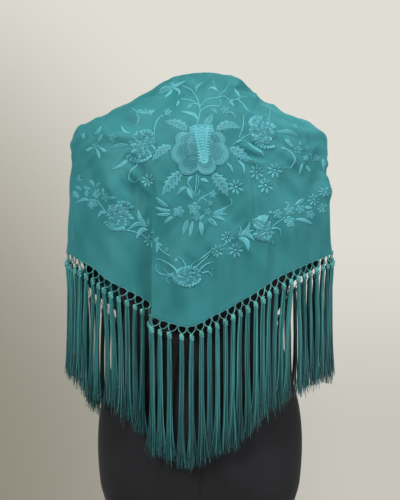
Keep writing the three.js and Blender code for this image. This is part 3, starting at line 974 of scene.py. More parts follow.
# %% The knots
def knot_form():
    """One overhand knot about the origin: a core and two slanting turns."""
    core = [(1.3, 5.2), (2.5, 3.0), (3.0, 0.4), (2.7, -2.4), (1.9, -5.0)]
    turn = np.linspace(0, 2 * np.pi, 7)[:-1]
    ring = np.stack([np.cos(turn), 0.85 * np.sin(turn), 0 * turn], -1)
    points = [ring * r + (0, 0, z) for r, z in core]
    faces = [tuple(reversed(face)) for face in grid_faces(len(core), 6, closed=True).tolist()]
    count = 6 * len(core)
    for tilt, middle in ((0.62, 1.7), (0.5, -1.3)):
        around = np.linspace(0, 2 * np.pi, 9)[:-1]
        for angle in np.linspace(0, 2 * np.pi, 5)[:-1]:
            reach = 3.0 + 1.25 * np.cos(angle)
            up = middle + 1.35 * np.sin(angle) + reach * np.cos(around) * tilt
            points.append(np.stack([reach * np.cos(around), 0.9 * reach * np.sin(around), up], -1))
        for i in range(4):
            for j in range(8):
                k, m = (i + 1) % 4, (j + 1) % 8
                faces.append(tuple(count + 8 * a + b for a, b in ((i, j), (i, m), (k, m), (k, j))))
        count += 32
    return new_piece("knot_form", np.concatenate(points), faces, NET_RAYON)


print("the knots are worked in", NET_RAYON.name)


# %% Tie a knot at every hole
def knot_points():
    """A bare point for each knot, with its turn and its size."""
    share, here, along, out = net_frame(np.arange(LAST_TIE) + 0.5)
    here = here + along * net_shift(share)[:, None] + out * NET_OUT
    here[:, 2] -= KNOT_DOWN
    random = np.random.default_rng(11)
    mesh = bpy.data.meshes.new("net_knots")
    mesh.from_pydata((here * MM).tolist(), [], [])
    turn = np.arctan2(along[:, 1], along[:, 0])
    point_values(mesh, "turn", turn + random.normal(0, 0.2, len(here)))
    point_values(mesh, "size", random.uniform(1.02, 1.2, len(here)))
    return new_object("net_knots", mesh)


def place_knots():
    piece = knot_points()
    form = knot_form()
    maker = Maker("tie_the_knots", Knot=form, Tilt=-0.4)
    given = {"Object": maker.input("Knot")}
    knot = maker.node("GeometryNodeObjectInfo", values=given, out="Geometry")
    slant = maker.input("Tilt")
    spin = maker.node("ShaderNodeCombineXYZ", values={"Y": slant, "Z": maker.named("turn")})
    values = {"Points": maker.input("Geometry"), "Instance": knot, "Rotation": spin}
    values["Scale"] = maker.named("size")
    maker.end(maker.node("GeometryNodeInstanceOnPoints", values=values), NET_RAYON)
    maker.apply(piece)
    bpy.data.objects.remove(form)
    return piece


KNOT_PIECE = place_knots()
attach(KNOT_PIECE, "root")
print("knots:", LAST_TIE, "of them,", len(KNOT_PIECE.data.polygons), "faces")

# %% [markdown]
# Below each knot hangs a lock of 36 rayon threads. A lock is gathered at its knot, swells, and frays at
# its end. Threads are paths round the lock's own middle line, with three-sided bodies, and a tone for
# each thread lets light and dark strands lie side by side; the tone also carries painted shade that
# darkens every thread towards its frayed end.

# %% The locks of the fringe
LOCK_TOP = 20.5
LOCK_END = 198
MIDDLE_EXTRA = 21
MIDDLE_SHARE = 0.3
END_UNEVEN = 4
SWAY_SHARE = 0.1
TUCK = 2.6
CROWDED = 12
BEND = 0.7
FRAY = 0.34
CUT_SHORT = 3.5
CUT_UNEVEN = 5.5
THREADS = 36
THREAD_RADIUS = 0.55
# Painted shade: a thread's colour is darkened towards its frayed end, where the ends shade one another.
TOP_TONE = 0.1
END_SHADE = 0.45
# Steps of this angle, in radians, fill a round evenly.
GOLDEN_ANGLE = 2.39996
# Where the fringe parts: place round the hem, how far the locks lean away, and over what reach.
PARTINGS = ((-158, 6.5, 64), (152, 6.5, 64), (-416, 5, 56), (412, 5, 56))
# A lock's half width and half depth at places along it.
ALONG = np.array([0, 0.03, 0.08, 0.2, 0.4, 0.6, 0.78, 0.9, 1])
WIDE = np.array([2.6, 2.9, 3.2, 3.4, 3.5, 3.8, 4.8, 6.8, 9.2])
DEEP = np.array([1.8, 2.1, 2.4, 2.5, 2.6, 2.7, 3.1, 4.0, 5.0])
print("a lock is", round(2 * WIDE[0], 1), "mm wide at its knot and", round(2 * WIDE[-1], 1), "at its end")


# %% The threads of a lock
def uneven(k, kind):
    """A repeatable unevenness between -1 and 1."""
    return math.sin(k * 12.9898 + kind * 78.233)


def parting_lean(share):
    """How far a lock leans away from the partings near it."""
    away = [share * REFERENCE_REACH - middle for middle, _, _ in PARTINGS]
    return sum(
        math.copysign(spread * max(0, 1 - abs(a) / reach), a)
        for a, (_, spread, reach) in zip(away, PARTINGS)
    )


def lock_threads(index, random):
    """The threads of the lock between two ties, as paths with a tone and a taper each."""
    share, here, along, out = (value[0] for value in net_frame(np.array([index + 0.5])))
    ends = net_frame(np.array([index, index + 1.0]))[1]
    spacing = np.linalg.norm((ends[1] - ends[0])[:2])
    right = index >= TIP_TIE
    number = (index - TIP_TIE) * 2 + 1 if right else (TIP_TIE - 1 - index) * 2
    longer = MIDDLE_EXTRA * ease(1 - abs(share) / MIDDLE_SHARE) + END_UNEVEN * uneven(number, 1)
    lean = parting_lean(share) + SWAY_SHARE * spacing * uneven(number, 2)
    crowd = min(1, spacing / CROWDED)
    bend = random.normal(0, BEND, 2)
    paths, tones, thins = [], [], []
    for k in range(THREADS):
        ring = math.sqrt((k + 0.5) / THREADS)
        angle = k * GOLDEN_ANGLE + random.uniform(-0.3, 0.3)
        twist = random.uniform(0.2, 1.1)
        fray = random.normal(1, FRAY)
        drop = LOCK_END + longer + random.normal(-CUT_SHORT, CUT_UNEVEN) - LOCK_TOP
        spin = angle + twist * ALONG
        spread = 1 + (fray - 1) * ALONG**3
        x = WIDE * crowd * ring * spread * np.cos(spin)
        y = DEEP * ring * spread * np.sin(spin)
        drift = lean * np.interp(ALONG, [0, 0.4, 1], [0, 0.8, 1])
        drift = drift + bend[0] * np.sin(ALONG * 5) + net_shift(share)
        path = here + along * (x + drift)[:, None]
        tuck = TUCK * np.clip(ALONG * 5, 0, 1)
        away = y + NET_OUT - tuck + bend[1] * np.sin(ALONG * 4) * ALONG
        path = path + out * away[:, None]
        path[:, 2] = here[2] - LOCK_TOP - ALONG * drop
        paths.append(path)
        # Each thread's own random tone, less the painted shade towards its end.
        tones.append(random.uniform(0, 1) + TOP_TONE - END_SHADE * ALONG**2)
        thins.append(np.interp(ALONG, [0, 0.85, 1], [1, 1, 0.55]))
    return paths, tones, thins


print("a lock at a parting leans", round(parting_lean(-0.27), 1), "mm")


# %% Hang the locks
def lock_finish():
    finish = Finish("fringe_rayon")
    place = finish.object_place()
    fibre = finish.noise(finish.stretch(place, 1500, 1500, 30), 1, 2)
    # The tone holds each thread's random tone and the painted shade towards its end.
    tone = finish.attribute("tone")
    mixed = finish.rise(tone * 0.65 + fibre * 0.35, 0.1, 0.9)
    colour = finish.mix(mixed, tint(15, 54, 58), tint(50, 134, 134))
    return finish.surface({
        "Base Color": colour,
        "Roughness": finish.rise(fibre, 0.3, 0.7, 0.34, 0.5),
        "Normal": finish.bump(fibre, 0.0003, 0.5),
        "Specular IOR Level": 0.5,
        "Sheen Weight": 0.12,
        "Sheen Roughness": 0.3,
        "Sheen Tint": tint(160, 225, 220),
    })


LOCK_RAYON = lock_finish()
for side, first, last in (("left", 0, TIP_TIE), ("right", TIP_TIE, LAST_TIE)):
    random = np.random.default_rng(5 + first)
    locks = [lock_threads(index, random) for index in range(first, last)]
    threads = [path for lock in locks for path in lock[0]]
    tones = [tone for lock in locks for tone in lock[1]]
    thins = [thin for lock in locks for thin in lock[2]]
    piece = wires("fringe_" + side, threads, tone=tones, thin=thins)
    sweep_maker("hang_the_" + side + "_locks", LOCK_RAYON, THREAD_RADIUS, 3).apply(piece)
    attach(piece, "root")
    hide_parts("shawl_fringe_" + side)
    print(piece.name, len(threads), "threads,", len(piece.data.polygons), "faces")

# %% [markdown]
# The flowers are hand embroidery in silk floss: satin stitch for petals and leaves, padded so that
# they stand proud of the crepe, and stem stitch for the stalks. Their layout is written as a maker
# would mark it with a ruler held flat across the back: millimetres to the right of the middle, and
# height. Each motif is a small raised grid, laid on the folded cloth when all of them are drawn.

# %% From a ruler's place to the cloth
BACK_SHARES = 121
SIDE_COLUMN = RING_X.argmax(axis=1)
BACK_LEVELS = np.array([
    np.interp(np.linspace(0, row[last], BACK_SHARES), row[: last + 1], SHARES[: last + 1])
    for row, last in zip(RING_X, SIDE_COLUMN)
])


def ruler_share(x, z):
    """The share of the way round at which the cloth lies x millimetres right of the middle."""
    away = x - smooth(CLOTH, "z", "shift", z)
    widest = np.interp(z, LEVELS, RING_X.max(axis=1))
    col = np.clip(np.abs(away) / widest, 0, 1) * (BACK_SHARES - JUST_INSIDE)
    return np.sign(away) * between(BACK_LEVELS, level_row(z), col)


HUNDRED_RIGHT = ruler_share(np.array([100.0]), np.array([1250.0]))[0]
print("100 mm right of the middle is share", round(float(HUNDRED_RIGHT), 3), "of half the way round")

# %% [markdown]
# An embroiderer has two ways to fill a shape: satin stitch across a narrow strip, and rows of
# stitches round a patch. The two methods below draw those, as a grid with a crowned section, and
# lay() bends all the grids on to the cloth, so a motif follows the crease under it.

# %% Drawing with floss
def pen_path(points, count):
    """An even, smooth path through a few places."""
    points = np.array(points, float)
    chord = np.concatenate([[0], np.cumsum(np.hypot(*np.diff(points, axis=0).T))])
    rows = {"chord": chord, "x": points[:, 0], "z": points[:, 1]}
    at = np.linspace(0, chord[-1], count)
    return np.stack([smooth(rows, "chord", "x", at), smooth(rows, "chord", "z", at)], -1)


print("points on a bent path:", pen_path([(0, 0), (5, 2), (10, 0)], 3).round(1).tolist())

# %% Blades and domes of stitches
# Each motif's edge lies this far under the crepe's face. A row of stitches rises by this much, and by
# this share it is painted lighter on top and darker between rows, as painted highlight and shade.
SINK = 0.35
STITCH_RISE = 0.48
ROW_LIGHT_AND_SHADE = 0.2
# Places across a blade, from edge to edge.
FINE_SECTION = [-1, -0.86, -0.5, 0, 0.5, 0.86, 1]
PLAIN_SECTION = [-1, -0.7, 0, 0.7, 1]


class Floss:
    """Raised stitches, gathered as grids and laid on the cloth together."""

    def __init__(self, name):
        self.name = name
        self.grids = []

    def grid(self, x, z, height, along, across, tone):
        """Keep one motif: its places, heights, chart and tone."""
        tone = np.broadcast_to(tone, x.shape)
        self.grids.append(np.stack(np.broadcast_arrays(x, z, height, along, across, tone), -1))

    def blade(self, points, width, shape, rise, tone, vein=0.0, teeth=0, lift=0.0, rib=0.0,
              edge=0.0, step_length=1.9):
        """A strip of satin stitch along a path. shape gives its half width as a share."""
        length = sum(math.dist(a, b) for a, b in zip(points, points[1:]))
        steps = max(6, min(64, int(length / step_length) + 3))
        count = teeth * 6 + 1 if teeth else steps
        path = pen_path(points, count)
        step = np.gradient(path, axis=0)
        step /= np.maximum(np.hypot(*step.T), 1e-6)[:, None]
        t = np.linspace(0, 1, count)[:, None]
        v = np.array([FINE_SECTION if vein or teeth else PLAIN_SECTION])
        half = width / 2 * shape(t)
        if teeth:
            half = half * (1 + 0.75 * ((t * teeth) % 1 - 0.5) * np.abs(v) ** 3)
        x = path[:, :1] - step[:, 1:] * half * v
        z = path[:, 1:] + step[:, :1] * half * v
        crown = np.sqrt(np.maximum(1 - v**2, 0)) * (1 - vein * np.exp(-((v / 0.3) ** 2)))
        ends = np.clip(np.minimum(t, 1 - t) * 9, 0, 1) ** 0.5
        ribs = np.sin(np.pi * (t * max(teeth, 6) - np.abs(v) * 0.8)) ** 2 * (np.abs(v) < 0.95)
        height = lift + (rise * crown + rib * ribs) * ends
        height = np.where(np.abs(v) == 1, -SINK, height)
        # Painted light on the tone: the satin threads are painted lighter at the edges, where they turn
        # to the light, and darker in the middle, with a painted highlight on each rib and painted shade
        # between the ribs.
        tone = tone + edge * (v**2 - 0.4) + min(rib, 0.6) * (ribs - 0.5)
        self.grid(x, z, height, t * length, v * half, tone)

    def dome(self, x, z, wide, tall, turn, rise, tone, rows=0, lift=0.0, lobes=0, rim=0.0,
             deep=0.12, pull=(0, 0)):
        """A round patch. rows are rings of stitches, each painted lighter on top and darker between,
        lobes scallop its edge, rim raises the edge and paints a highlight on it, and pull slides the
        inner rings sideways, as on a petal that starts under its neighbour."""
        rings = max(5, rows * 4 + 1)
        columns = max(17, lobes * 6 + 1, int((wide + tall) * 0.75) + 1)
        r = np.concatenate([np.linspace(0, 0.97, rings), [1.0]])[:, None]
        a = np.linspace(0, 2 * np.pi, columns)[None]
        edge = 1 + deep * (np.abs(np.cos(a * lobes / 2)) - 0.6) * (lobes > 0) * r**1.5
        u, w = wide / 2 * r * edge * np.cos(a), tall / 2 * r * edge * np.sin(a)
        c, s = math.cos(math.radians(turn)), math.sin(math.radians(turn))
        ridge = np.exp(-(((r - 0.82) / 0.13) ** 2))
        dome = np.sqrt(np.maximum(1 - r**4, 0)) + rim * ridge
        bent = r * (1 + 0.03 * np.sin(5 * a + x))
        ripple = np.sin(np.pi * bent * rows) ** 2 * (r < 0.96) if rows else 0 * a
        height = lift + rise * (dome + 0 * a) + STITCH_RISE * ripple
        height = np.where(r > 0.99, -SINK, height)
        # Painted highlight on the top of each row and on the raised rim, with painted shade in the
        # grooves between the rows.
        tone = tone + ROW_LIGHT_AND_SHADE * (ripple - 0.5) * (rows > 0)
        tone = tone + rim * (ridge - 0.3)
        x = x + pull[0] * (1 - r) + u * c - w * s
        z = z + pull[1] * (1 - r) + u * s + w * c
        self.grid(x, z, height, a * wide / 2, r * 3, tone)

    def lay(self, material):
        """Put every grid on the folded cloth and make one piece of them."""
        flat = np.concatenate([grid.reshape(-1, 6) for grid in self.grids])
        x, z, height = flat[:, 0], flat[:, 1], flat[:, 2]
        points, normals = dressed_surface(ruler_share(x, z), z)
        points = points + normals * (CREPE_THICK / 2 + height)[:, None]
        faces, start = [], 0
        for grid in self.grids:
            faces += (grid_faces(*grid.shape[:2]) + start).tolist()
            start += grid.shape[0] * grid.shape[1]
        piece = new_piece(self.name, points, faces, material, flat[:, 3:5] * MM)
        point_values(piece.data, "tone", flat[:, 5])
        work = bmesh.new()
        work.from_mesh(piece.data)
        bmesh.ops.remove_doubles(work, verts=work.verts, dist=2e-6)
        work.to_mesh(piece.data)
        work.free()
        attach(piece, "root")
        print(self.name + ":", len(self.grids), "motifs,", len(piece.data.polygons), "faces")
        return piece


print("a blade has", len(FINE_SECTION), "or", len(PLAIN_SECTION), "points across")

# %% [markdown]
# A motif is drawn once as a function and worked many times: a star, a floret, a bud, a frill of
# small petals and a full round head. The number of a petal changes its length, its turn and its
# tone a little, because no two petals worked by hand are alike.

# %% Shapes of petals and leaves
def leaf_shape(t):
    return np.sin(np.pi * t**0.8) ** 0.8


def petal_shape(t):
    return 0.25 + 0.95 * np.sin(np.pi * t**1.6) ** 0.7


def spear_shape(t):
    return 0.14 + 0.95 * np.sin(np.pi * t**1.5) ** 1.1


def stem_shape(t):
    return 0.75 + 0.25 * np.sin(np.pi * t)


def taper_both(t):
    return 0.35 + 0.7 * np.sin(np.pi * t) ** 0.5


def taper_shape(t):
    return 1.05 - 0.75 * t


def around(x, z, radius, degrees, squash=1.0):
    """A place at a distance and an angle from another."""
    a = math.radians(degrees)
    return (x + radius * math.cos(a), z + radius * squash * math.sin(a))


print("a petal's width along it:", petal_shape(np.linspace(0, 1, 5)).round(2).tolist())


# %% Stars, florets, buds and round heads
def star(floss, radius, place, turn):
    """Eight pointed petals, each a padded satin stitch, with a small raised middle."""
    for k in range(8):
        angle = turn + 45 * k + 5 * uneven(k, radius)
        reach = radius * (0.94 + 0.1 * uneven(k + 3, radius))
        path = (around(*place, 0.12 * radius, angle), around(*place, reach, angle))
        tone = 0.62 + 0.2 * uneven(k, 2)
        floss.blade(path, 0.29 * radius, spear_shape, 1.6, tone, vein=0.4, edge=0.35)
    floss.dome(*place, 0.28 * radius, 0.28 * radius, 0, 1.8, 0.95)


def rosette(floss, radius, place):
    """A small open flower: five round petals with raised edges, painted lighter, about a small middle."""
    turn = 72 * uneven(place[0], 1)
    for k in range(5):
        middle = around(*place, 0.6 * radius, turn + 72 * k + 6 * uneven(k, radius))
        size = radius * (0.8 + 0.08 * uneven(k, place[0]))
        lift = 0.1 * (k % 2)
        floss.dome(*middle, size, 0.86 * size, turn + 72 * k, 0.9, 0.62, rim=0.5, lift=lift)
    floss.dome(*place, 0.42 * radius, 0.42 * radius, 0, 1.5, 0.85)


def bud(floss, radius, place):
    """Three little petals that open from one point."""
    turn = 180 * uneven(place[0], 4)
    for k in (-1, 0, 1):
        tip = around(*place, 1.5 * radius, turn + 48 * k)
        floss.blade((place, tip), 0.85 * radius, petal_shape, 1.2, 0.66, edge=0.3)


def frill(floss, place, radius, first, last, count, length, lift, tone, squash=1.0):
    """Small rounded petals side by side along an arc."""
    for k in range(count):
        angle = first + (last - first) * (k + 0.5) / count
        start = around(*place, radius - length * (0.9 + 0.2 * uneven(k, 5)), angle, squash)
        end = around(*place, radius * (1 + 0.07 * uneven(k, 3)), angle + 5 * uneven(k, 4), squash)
        width = abs(math.radians(last - first)) * radius / count * 1.05
        shade = tone + 0.15 * uneven(k, 6)
        floss.blade((start, end), width, petal_shape, 1.3, shade, lift=lift, rib=0.3, edge=0.3)


def carnation(floss, place, wide, tall, turn, petals):
    """A dense head: a padded patch under many little petals that point outwards."""
    floss.dome(*place, 0.94 * wide, 0.94 * tall, turn, 1.1, 0.42, lobes=9, deep=0.2, rows=5)
    c, s = math.cos(math.radians(turn)), math.sin(math.radians(turn))
    for k in reversed(range(petals)):
        ring = math.sqrt((k + 0.6) / petals)
        angle = k * GOLDEN_ANGLE + 0.3 * uneven(k, wide)
        u, w = 0.43 * wide * ring * math.cos(angle), 0.43 * tall * ring * math.sin(angle)
        start = (place[0] + (u * c - w * s) * 0.82, place[1] + (u * s + w * c) * 0.82)
        away = math.degrees(math.atan2(u * s + w * c, u * c - w * s)) + 24 * uneven(k, 8)
        end = around(*start, 5.2 + 1.4 * uneven(k, 9) + 2.4 * ring**3, away)
        tone = 0.5 + 0.18 * ring + 0.2 * uneven(k, 7)
        floss.blade((start, end), 4.4, petal_shape, 1.0, tone, lift=1.1 - 0.6 * ring, edge=0.4)


print("stars, florets, buds and round heads can be sewn")

# %% [markdown]
# A rose with serrated leaves fills the middle of the back, with a carnation at each shoulder and
# sprays of stars, florets and leaves that follow the two hems down to one more flower above the
# point. Such a layout is pricked on paper and pounced on the cloth before it is worked, so it is
# kept as lists of places, each list for one kind of motif.

# %% The layout of the embroidery
# A row is a width across and then the places its path goes through, or for round motifs a radius, a
# place and, for stars, a turn in degrees.
SERRATED = (
    (17.2, (-28, 1293), (-41, 1279), (-58, 1256)), (17.2, (19, 1289), (33, 1273), (44, 1253)),
    (14.8, (-44, 1332), (-59, 1326), (-75, 1309)), (15.6, (45, 1329), (62, 1321), (80, 1304)),
    (14, (-19, 1357), (-34, 1367), (-56, 1371)), (13.3, (25, 1357), (42, 1365), (64, 1360)),
    (10.9, (6, 1365), (14, 1373), (20, 1382)),
)
LEAVES = (
    (7, (-2, 1371), (-9, 1382), (-31, 1388)), (6.2, (-6, 1420), (-5, 1429), (5, 1437)),
    (5.5, (28, 1423), (20, 1429), (12, 1426)), (5.5, (16, 1392), (23, 1388), (27, 1381)),
    (4.7, (48, 1406), (55, 1395)), (4.7, (53, 1427), (59, 1420), (61, 1410)),
    (4.7, (-33, 1407), (-37, 1396)), (4.7, (-100, 1385), (-97, 1376), (-105, 1365)),
    (5.5, (-81, 1384), (-75, 1388), (-70, 1390)), (5.5, (-126, 1368), (-119, 1357), (-106, 1351)),
    (7, (-112, 1335), (-128, 1335), (-144, 1331)), (7, (-112, 1315), (-122, 1304), (-137, 1295)),
    (6.2, (-44, 1431), (-56, 1427), (-67, 1421)), (7, (-44, 1429), (-51, 1420), (-56, 1412)),
    (6.2, (-44, 1431), (-33, 1423), (-34, 1415)), (6.2, (-44, 1431), (-34, 1435), (-22, 1440)),
    (6.2, (-44, 1431), (-44, 1435), (-42, 1440)), (6.2, (73, 1338), (89, 1329), (103, 1315)),
    (5.5, (59, 1310), (67, 1301), (69, 1287)), (5.5, (41, 1306), (48, 1299), (51, 1289)),
    (6.2, (119, 1357), (137, 1356), (158, 1348)), (7, (133, 1345), (140, 1338), (148, 1331)),
    (5.5, (161, 1307), (159, 1298), (158, 1289)), (5.5, (168, 1304), (175, 1295)),
    (4.7, (158, 1335), (158, 1343)), (4.7, (195, 1317), (198, 1298)),
    (7, (0, 1279), (6, 1279), (14, 1275)), (6.2, (-11, 1284), (-16, 1281), (-19, 1273)),
    (7.8, (-20, 1268), (-28, 1264), (-37, 1253)), (7.8, (-20, 1267), (-16, 1259), (-11, 1248)),
    (7.8, (-48, 1236), (-58, 1242), (-69, 1253)), (7, (-45, 1231), (-58, 1232), (-70, 1237)),
    (7, (-45, 1226), (-58, 1225), (-69, 1225)), (7.8, (-41, 1221), (-48, 1218), (-56, 1211)),
    (7.8, (19, 1226), (33, 1231), (47, 1240)), (7, (20, 1223), (33, 1226), (45, 1225)),
    (7, (19, 1221), (30, 1220), (41, 1215)), (10.1, (12, 1217), (19, 1214), (27, 1206)),
    (9.4, (-20, 1217), (-23, 1206), (-28, 1192)), (7.8, (-11, 1215), (-14, 1203), (-16, 1189)),
    (8.6, (0, 1215), (2, 1204), (3, 1190)), (6.2, (-179, 1282), (-175, 1278), (-170, 1271)),
    (7, (-167, 1267), (-162, 1273), (-154, 1275)), (6.2, (-151, 1268), (-150, 1257)),
    (6.2, (-175, 1248), (-186, 1251), (-198, 1245)), (6.2, (-140, 1251), (-128, 1251)),
    (7.8, (-145, 1228), (-156, 1229), (-162, 1220)), (8.6, (-89, 1209), (-97, 1218), (-100, 1234)),
    (6.2, (-86, 1207), (-84, 1220)), (8.6, (-87, 1206), (-101, 1211), (-117, 1201)),
    (9.4, (-86, 1201), (-97, 1201), (-106, 1187)), (6.2, (-184, 1328), (-176, 1332), (-170, 1334)),
    (6.2, (-147, 1324), (-154, 1329), (-161, 1334)),
    (6.2, (-159, 1314), (-161, 1323), (-164, 1331)),
    (6.2, (-154, 1353), (-159, 1345), (-162, 1340)), (6.2, (58, 1190), (64, 1200), (61, 1209)),
    (7.8, (59, 1192), (73, 1201), (78, 1215)), (7, (62, 1192), (73, 1197), (84, 1201)),
    (9.4, (59, 1192), (73, 1195), (86, 1184)), (10.1, (59, 1189), (72, 1184), (76, 1168)),
    (7, (134, 1246), (139, 1243), (144, 1239)), (7.8, (165, 1251), (158, 1246), (150, 1240)),
    (7.8, (150, 1218), (164, 1217), (179, 1211)), (7, (165, 1237), (179, 1237)),
    (6.2, (108, 1231), (114, 1226)), (6.2, (111, 1186), (117, 1179)),
    (6.2, (-67, 1184), (-67, 1172), (-69, 1164)), (6.2, (-59, 1176), (-66, 1179), (-69, 1176)),
    (6.2, (-37, 1151), (-37, 1158)),
)
STEMS = (
    (1.6, (-5, 1365), (0, 1388), (-2, 1402), (-6, 1413), (-14, 1424), (-28, 1432)),
    (1.4, (0, 1398), (9, 1407), (20, 1410), (39, 1413), (48, 1407)),
    (1.2, (28, 1415), (39, 1424), (47, 1437)), (1.1, (20, 1440), (25, 1429), (30, 1420)),
    (1.2, (48, 1409), (59, 1409), (75, 1415)), (1.2, (59, 1409), (70, 1401), (78, 1390)),
    (1.4, (-2, 1398), (-14, 1407), (-31, 1409)), (1.1, (-3, 1399), (-9, 1401), (-17, 1399)),
    (1.4, (0, 1388), (11, 1395), (30, 1396)), (1.1, (30, 1407), (33, 1402), (30, 1398)),
    (1.2, (45, 1387), (51, 1385), (56, 1379)),
    (1.4, (-108, 1395), (-98, 1385), (-84, 1384), (-78, 1385)), (1.1, (-89, 1395), (-83, 1387)),
    (1.4, (-58, 1382), (-64, 1379), (-70, 1370), (-72, 1353)),
    (1.4, (50, 1334), (64, 1343), (80, 1353)), (1.4, (69, 1382), (67, 1362), (61, 1346)),
    (1.2, (111, 1393), (111, 1384), (108, 1374)), (1.4, (-5, 1287), (-6, 1271), (-8, 1256)),
    (1.2, (-2, 1285), (-2, 1275), (-5, 1264)), (1.4, (-20, 1275), (-14, 1265), (-9, 1254)),
    (1.2, (-8, 1254), (-2, 1257), (0, 1264)), (1.4, (-5, 1242), (3, 1251), (16, 1257)),
    (1.2, (3, 1251), (11, 1245)), (1.4, (-161, 1248), (-153, 1236), (-144, 1226)),
    (1.4, (-84, 1197), (-78, 1197), (-72, 1198)), (1.4, (-128, 1201), (-112, 1200), (-94, 1192)),
    (1.4, (133, 1221), (125, 1215), (115, 1207)), (1.4, (20, 1173), (11, 1164), (-2, 1154)),
    (1.4, (-66, 1176), (-58, 1167), (-47, 1161)), (1.2, (48, 1251), (50, 1243), (45, 1237)),
    (1.1, (175, 1324), (181, 1310)), (1.2, (47, 1187), (41, 1181), (33, 1175)),
)
TENDRILS = (
    (2.5, (56, 1338), (66, 1340), (75, 1338)),
    (2.3, (-95, 1309), (-108, 1292), (-111, 1281), (-103, 1276), (-94, 1282)),
    (2.5, (128, 1331), (140, 1326), (147, 1314), (142, 1299), (131, 1301)),
    (2.5, (112, 1204), (125, 1203), (128, 1192)),
    (2.5, (-36, 1138), (-43, 1145), (-55, 1152), (-69, 1157)),
    (2.1, (-40, 1134), (-55, 1131), (-67, 1137), (-69, 1148)),
    (2.1, (-21, 1142), (-25, 1151), (-30, 1157), (-36, 1160)),
    (1.9, (-15, 1142), (-12, 1148), (-4, 1154)),
    (2.1, (-8, 1141), (4, 1153), (12, 1160), (17, 1169)),
    (2.3, (-1, 1139), (10, 1148), (23, 1152)),
    (1.9, (2, 1134), (13, 1136), (20, 1130), (19, 1143)),
    (2.1, (-37, 1126), (-46, 1130), (-52, 1124), (-46, 1118)),
    (1.7, (-36, 1130), (-50, 1134), (-58, 1142)),
)
STARS = (
    (11.4, (-81, 1278), 10), (14.4, (56, 1268), 20), (12.9, (89, 1292), 5),
    (12.9, (117, 1295), 30), (13.7, (103, 1271), 15), (10.9, (-86, 1184), 8),
    (10.1, (42, 1190), 25), (11.9, (27, 1168), 12), (12.5, (55, 1170), 35),
    (10.1, (181, 1250), 10), (8.6, (195, 1262), 30), (8.6, (195, 1236), 5),
    (6.2, (-192, 1285), 15),
)
ROSETTES = (
    (9, (-33, 1229)), (10.1, (-9, 1234)), (7, (-5, 1221)), (6.2, (12, 1229)), (6.6, (20, 1256)),
    (4.1, (16, 1242)), (7.2, (-137, 1346)), (6.6, (-167, 1335)), (6.6, (-51, 1387)),
    (4.7, (-86, 1387)), (7.8, (-162, 1259)), (8.4, (-168, 1243)), (7.8, (-147, 1253)),
    (7, (154, 1328)), (5, (170, 1332)), (5, (167, 1315)), (5.6, (187, 1317)), (7, (150, 1367)),
    (7.8, (122, 1226)), (8.7, (140, 1232)), (9.4, (140, 1214)), (7.8, (158, 1234)),
    (7.8, (175, 1226)), (6.2, (86, 1214)), (7.2, (39, 1390)), (4.1, (-53, 1170)),
)
BUDS = (
    (3.4, (-19, 1398)), (3.7, (5, 1218)), (3.4, (-181, 1271)), (3.4, (-192, 1271)),
    (4.1, (-195, 1260)), (3.7, (-179, 1260)), (3.1, (-167, 1360)), (3.1, (-186, 1354)),
    (3.4, (-66, 1184)), (3.7, (-158, 1360)), (3.4, (-92, 1392)), (3.1, (47, 1407)),
    (3.4, (-76, 1388)),
)
# The round heads: place, width, height, turn and petals. Then each head's frills: place, radius, first
# and last angle, count, length, lift, tone and, where it isn't 1, squash.
HEADS = (
    (((-90, 1335), 43, 49, 15, 58),
     ((-95, 1330), 26, 215, 325, 8, 9, 1.0, 0.72), ((-86, 1342), 18, 30, 125, 5, 9, 1.1, 0.75)),
    (((98, 1357), 44, 52, -20, 60),
     ((106, 1350), 24, 200, 300, 8, 9, 1.0, 0.72), ((93, 1364), 20, 70, 165, 6, 9, 1.1, 0.8)),
    (((-128, 1222), 40, 45, 0, 52),
     ((-130, 1221), 23, 200, 300, 7, 9, 0.9, 0.7), ((-122, 1230), 18, 20, 110, 5, 8, 0.9, 0.65)),
    (((99, 1202), 30, 40, 10, 36),
     ((98, 1208), 17, 60, 125, 5, 12, 1.1, 0.95), ((99, 1199), 17, 215, 330, 7, 8, 0.9, 0.6)),
    (((-19, 1129), 42, 31, 0, 46),
     ((-19, 1129), 23, 195, 345, 10, 8, 0.9, 0.7, 0.76),
     ((-19, 1129), 22, 25, 155, 9, 8, 0.9, 0.7, 0.74)),
)
# Petals of the rose, back ones first: place, width, height, turn, lift, rows.
ROSE_MIDDLE = (1, 1331)
ROSE = (
    (-26, 1343, 30, 25, 20, 0.0, 6), (27, 1341, 28, 28, -20, 0.0, 6), (0, 1330, 46, 56, 0, 0.1, 8),
    (-29, 1321, 37, 37, -15, 0.3, 9), (30, 1319, 34, 37, 20, 0.3, 9), (2, 1357, 42, 20, 0, 0.5, 5),
    (-18, 1301, 37, 32, 12, 0.7, 9), (10, 1300, 32, 30, -8, 0.9, 8),
)

print(len(LEAVES), "leaves,", len(STARS), "stars,", len(ROSETTES), "florets,", len(HEADS), "round heads")

# %% [markdown]
# Silk floss shines along its threads, so a petal is painted lighter where its threads turn to the light.
# Each motif carries a tone: its thread's own small difference, with painted highlight and shade from its
# rows, ribs and edges. The thread grain comes from the motif's own chart, which runs along the petal.

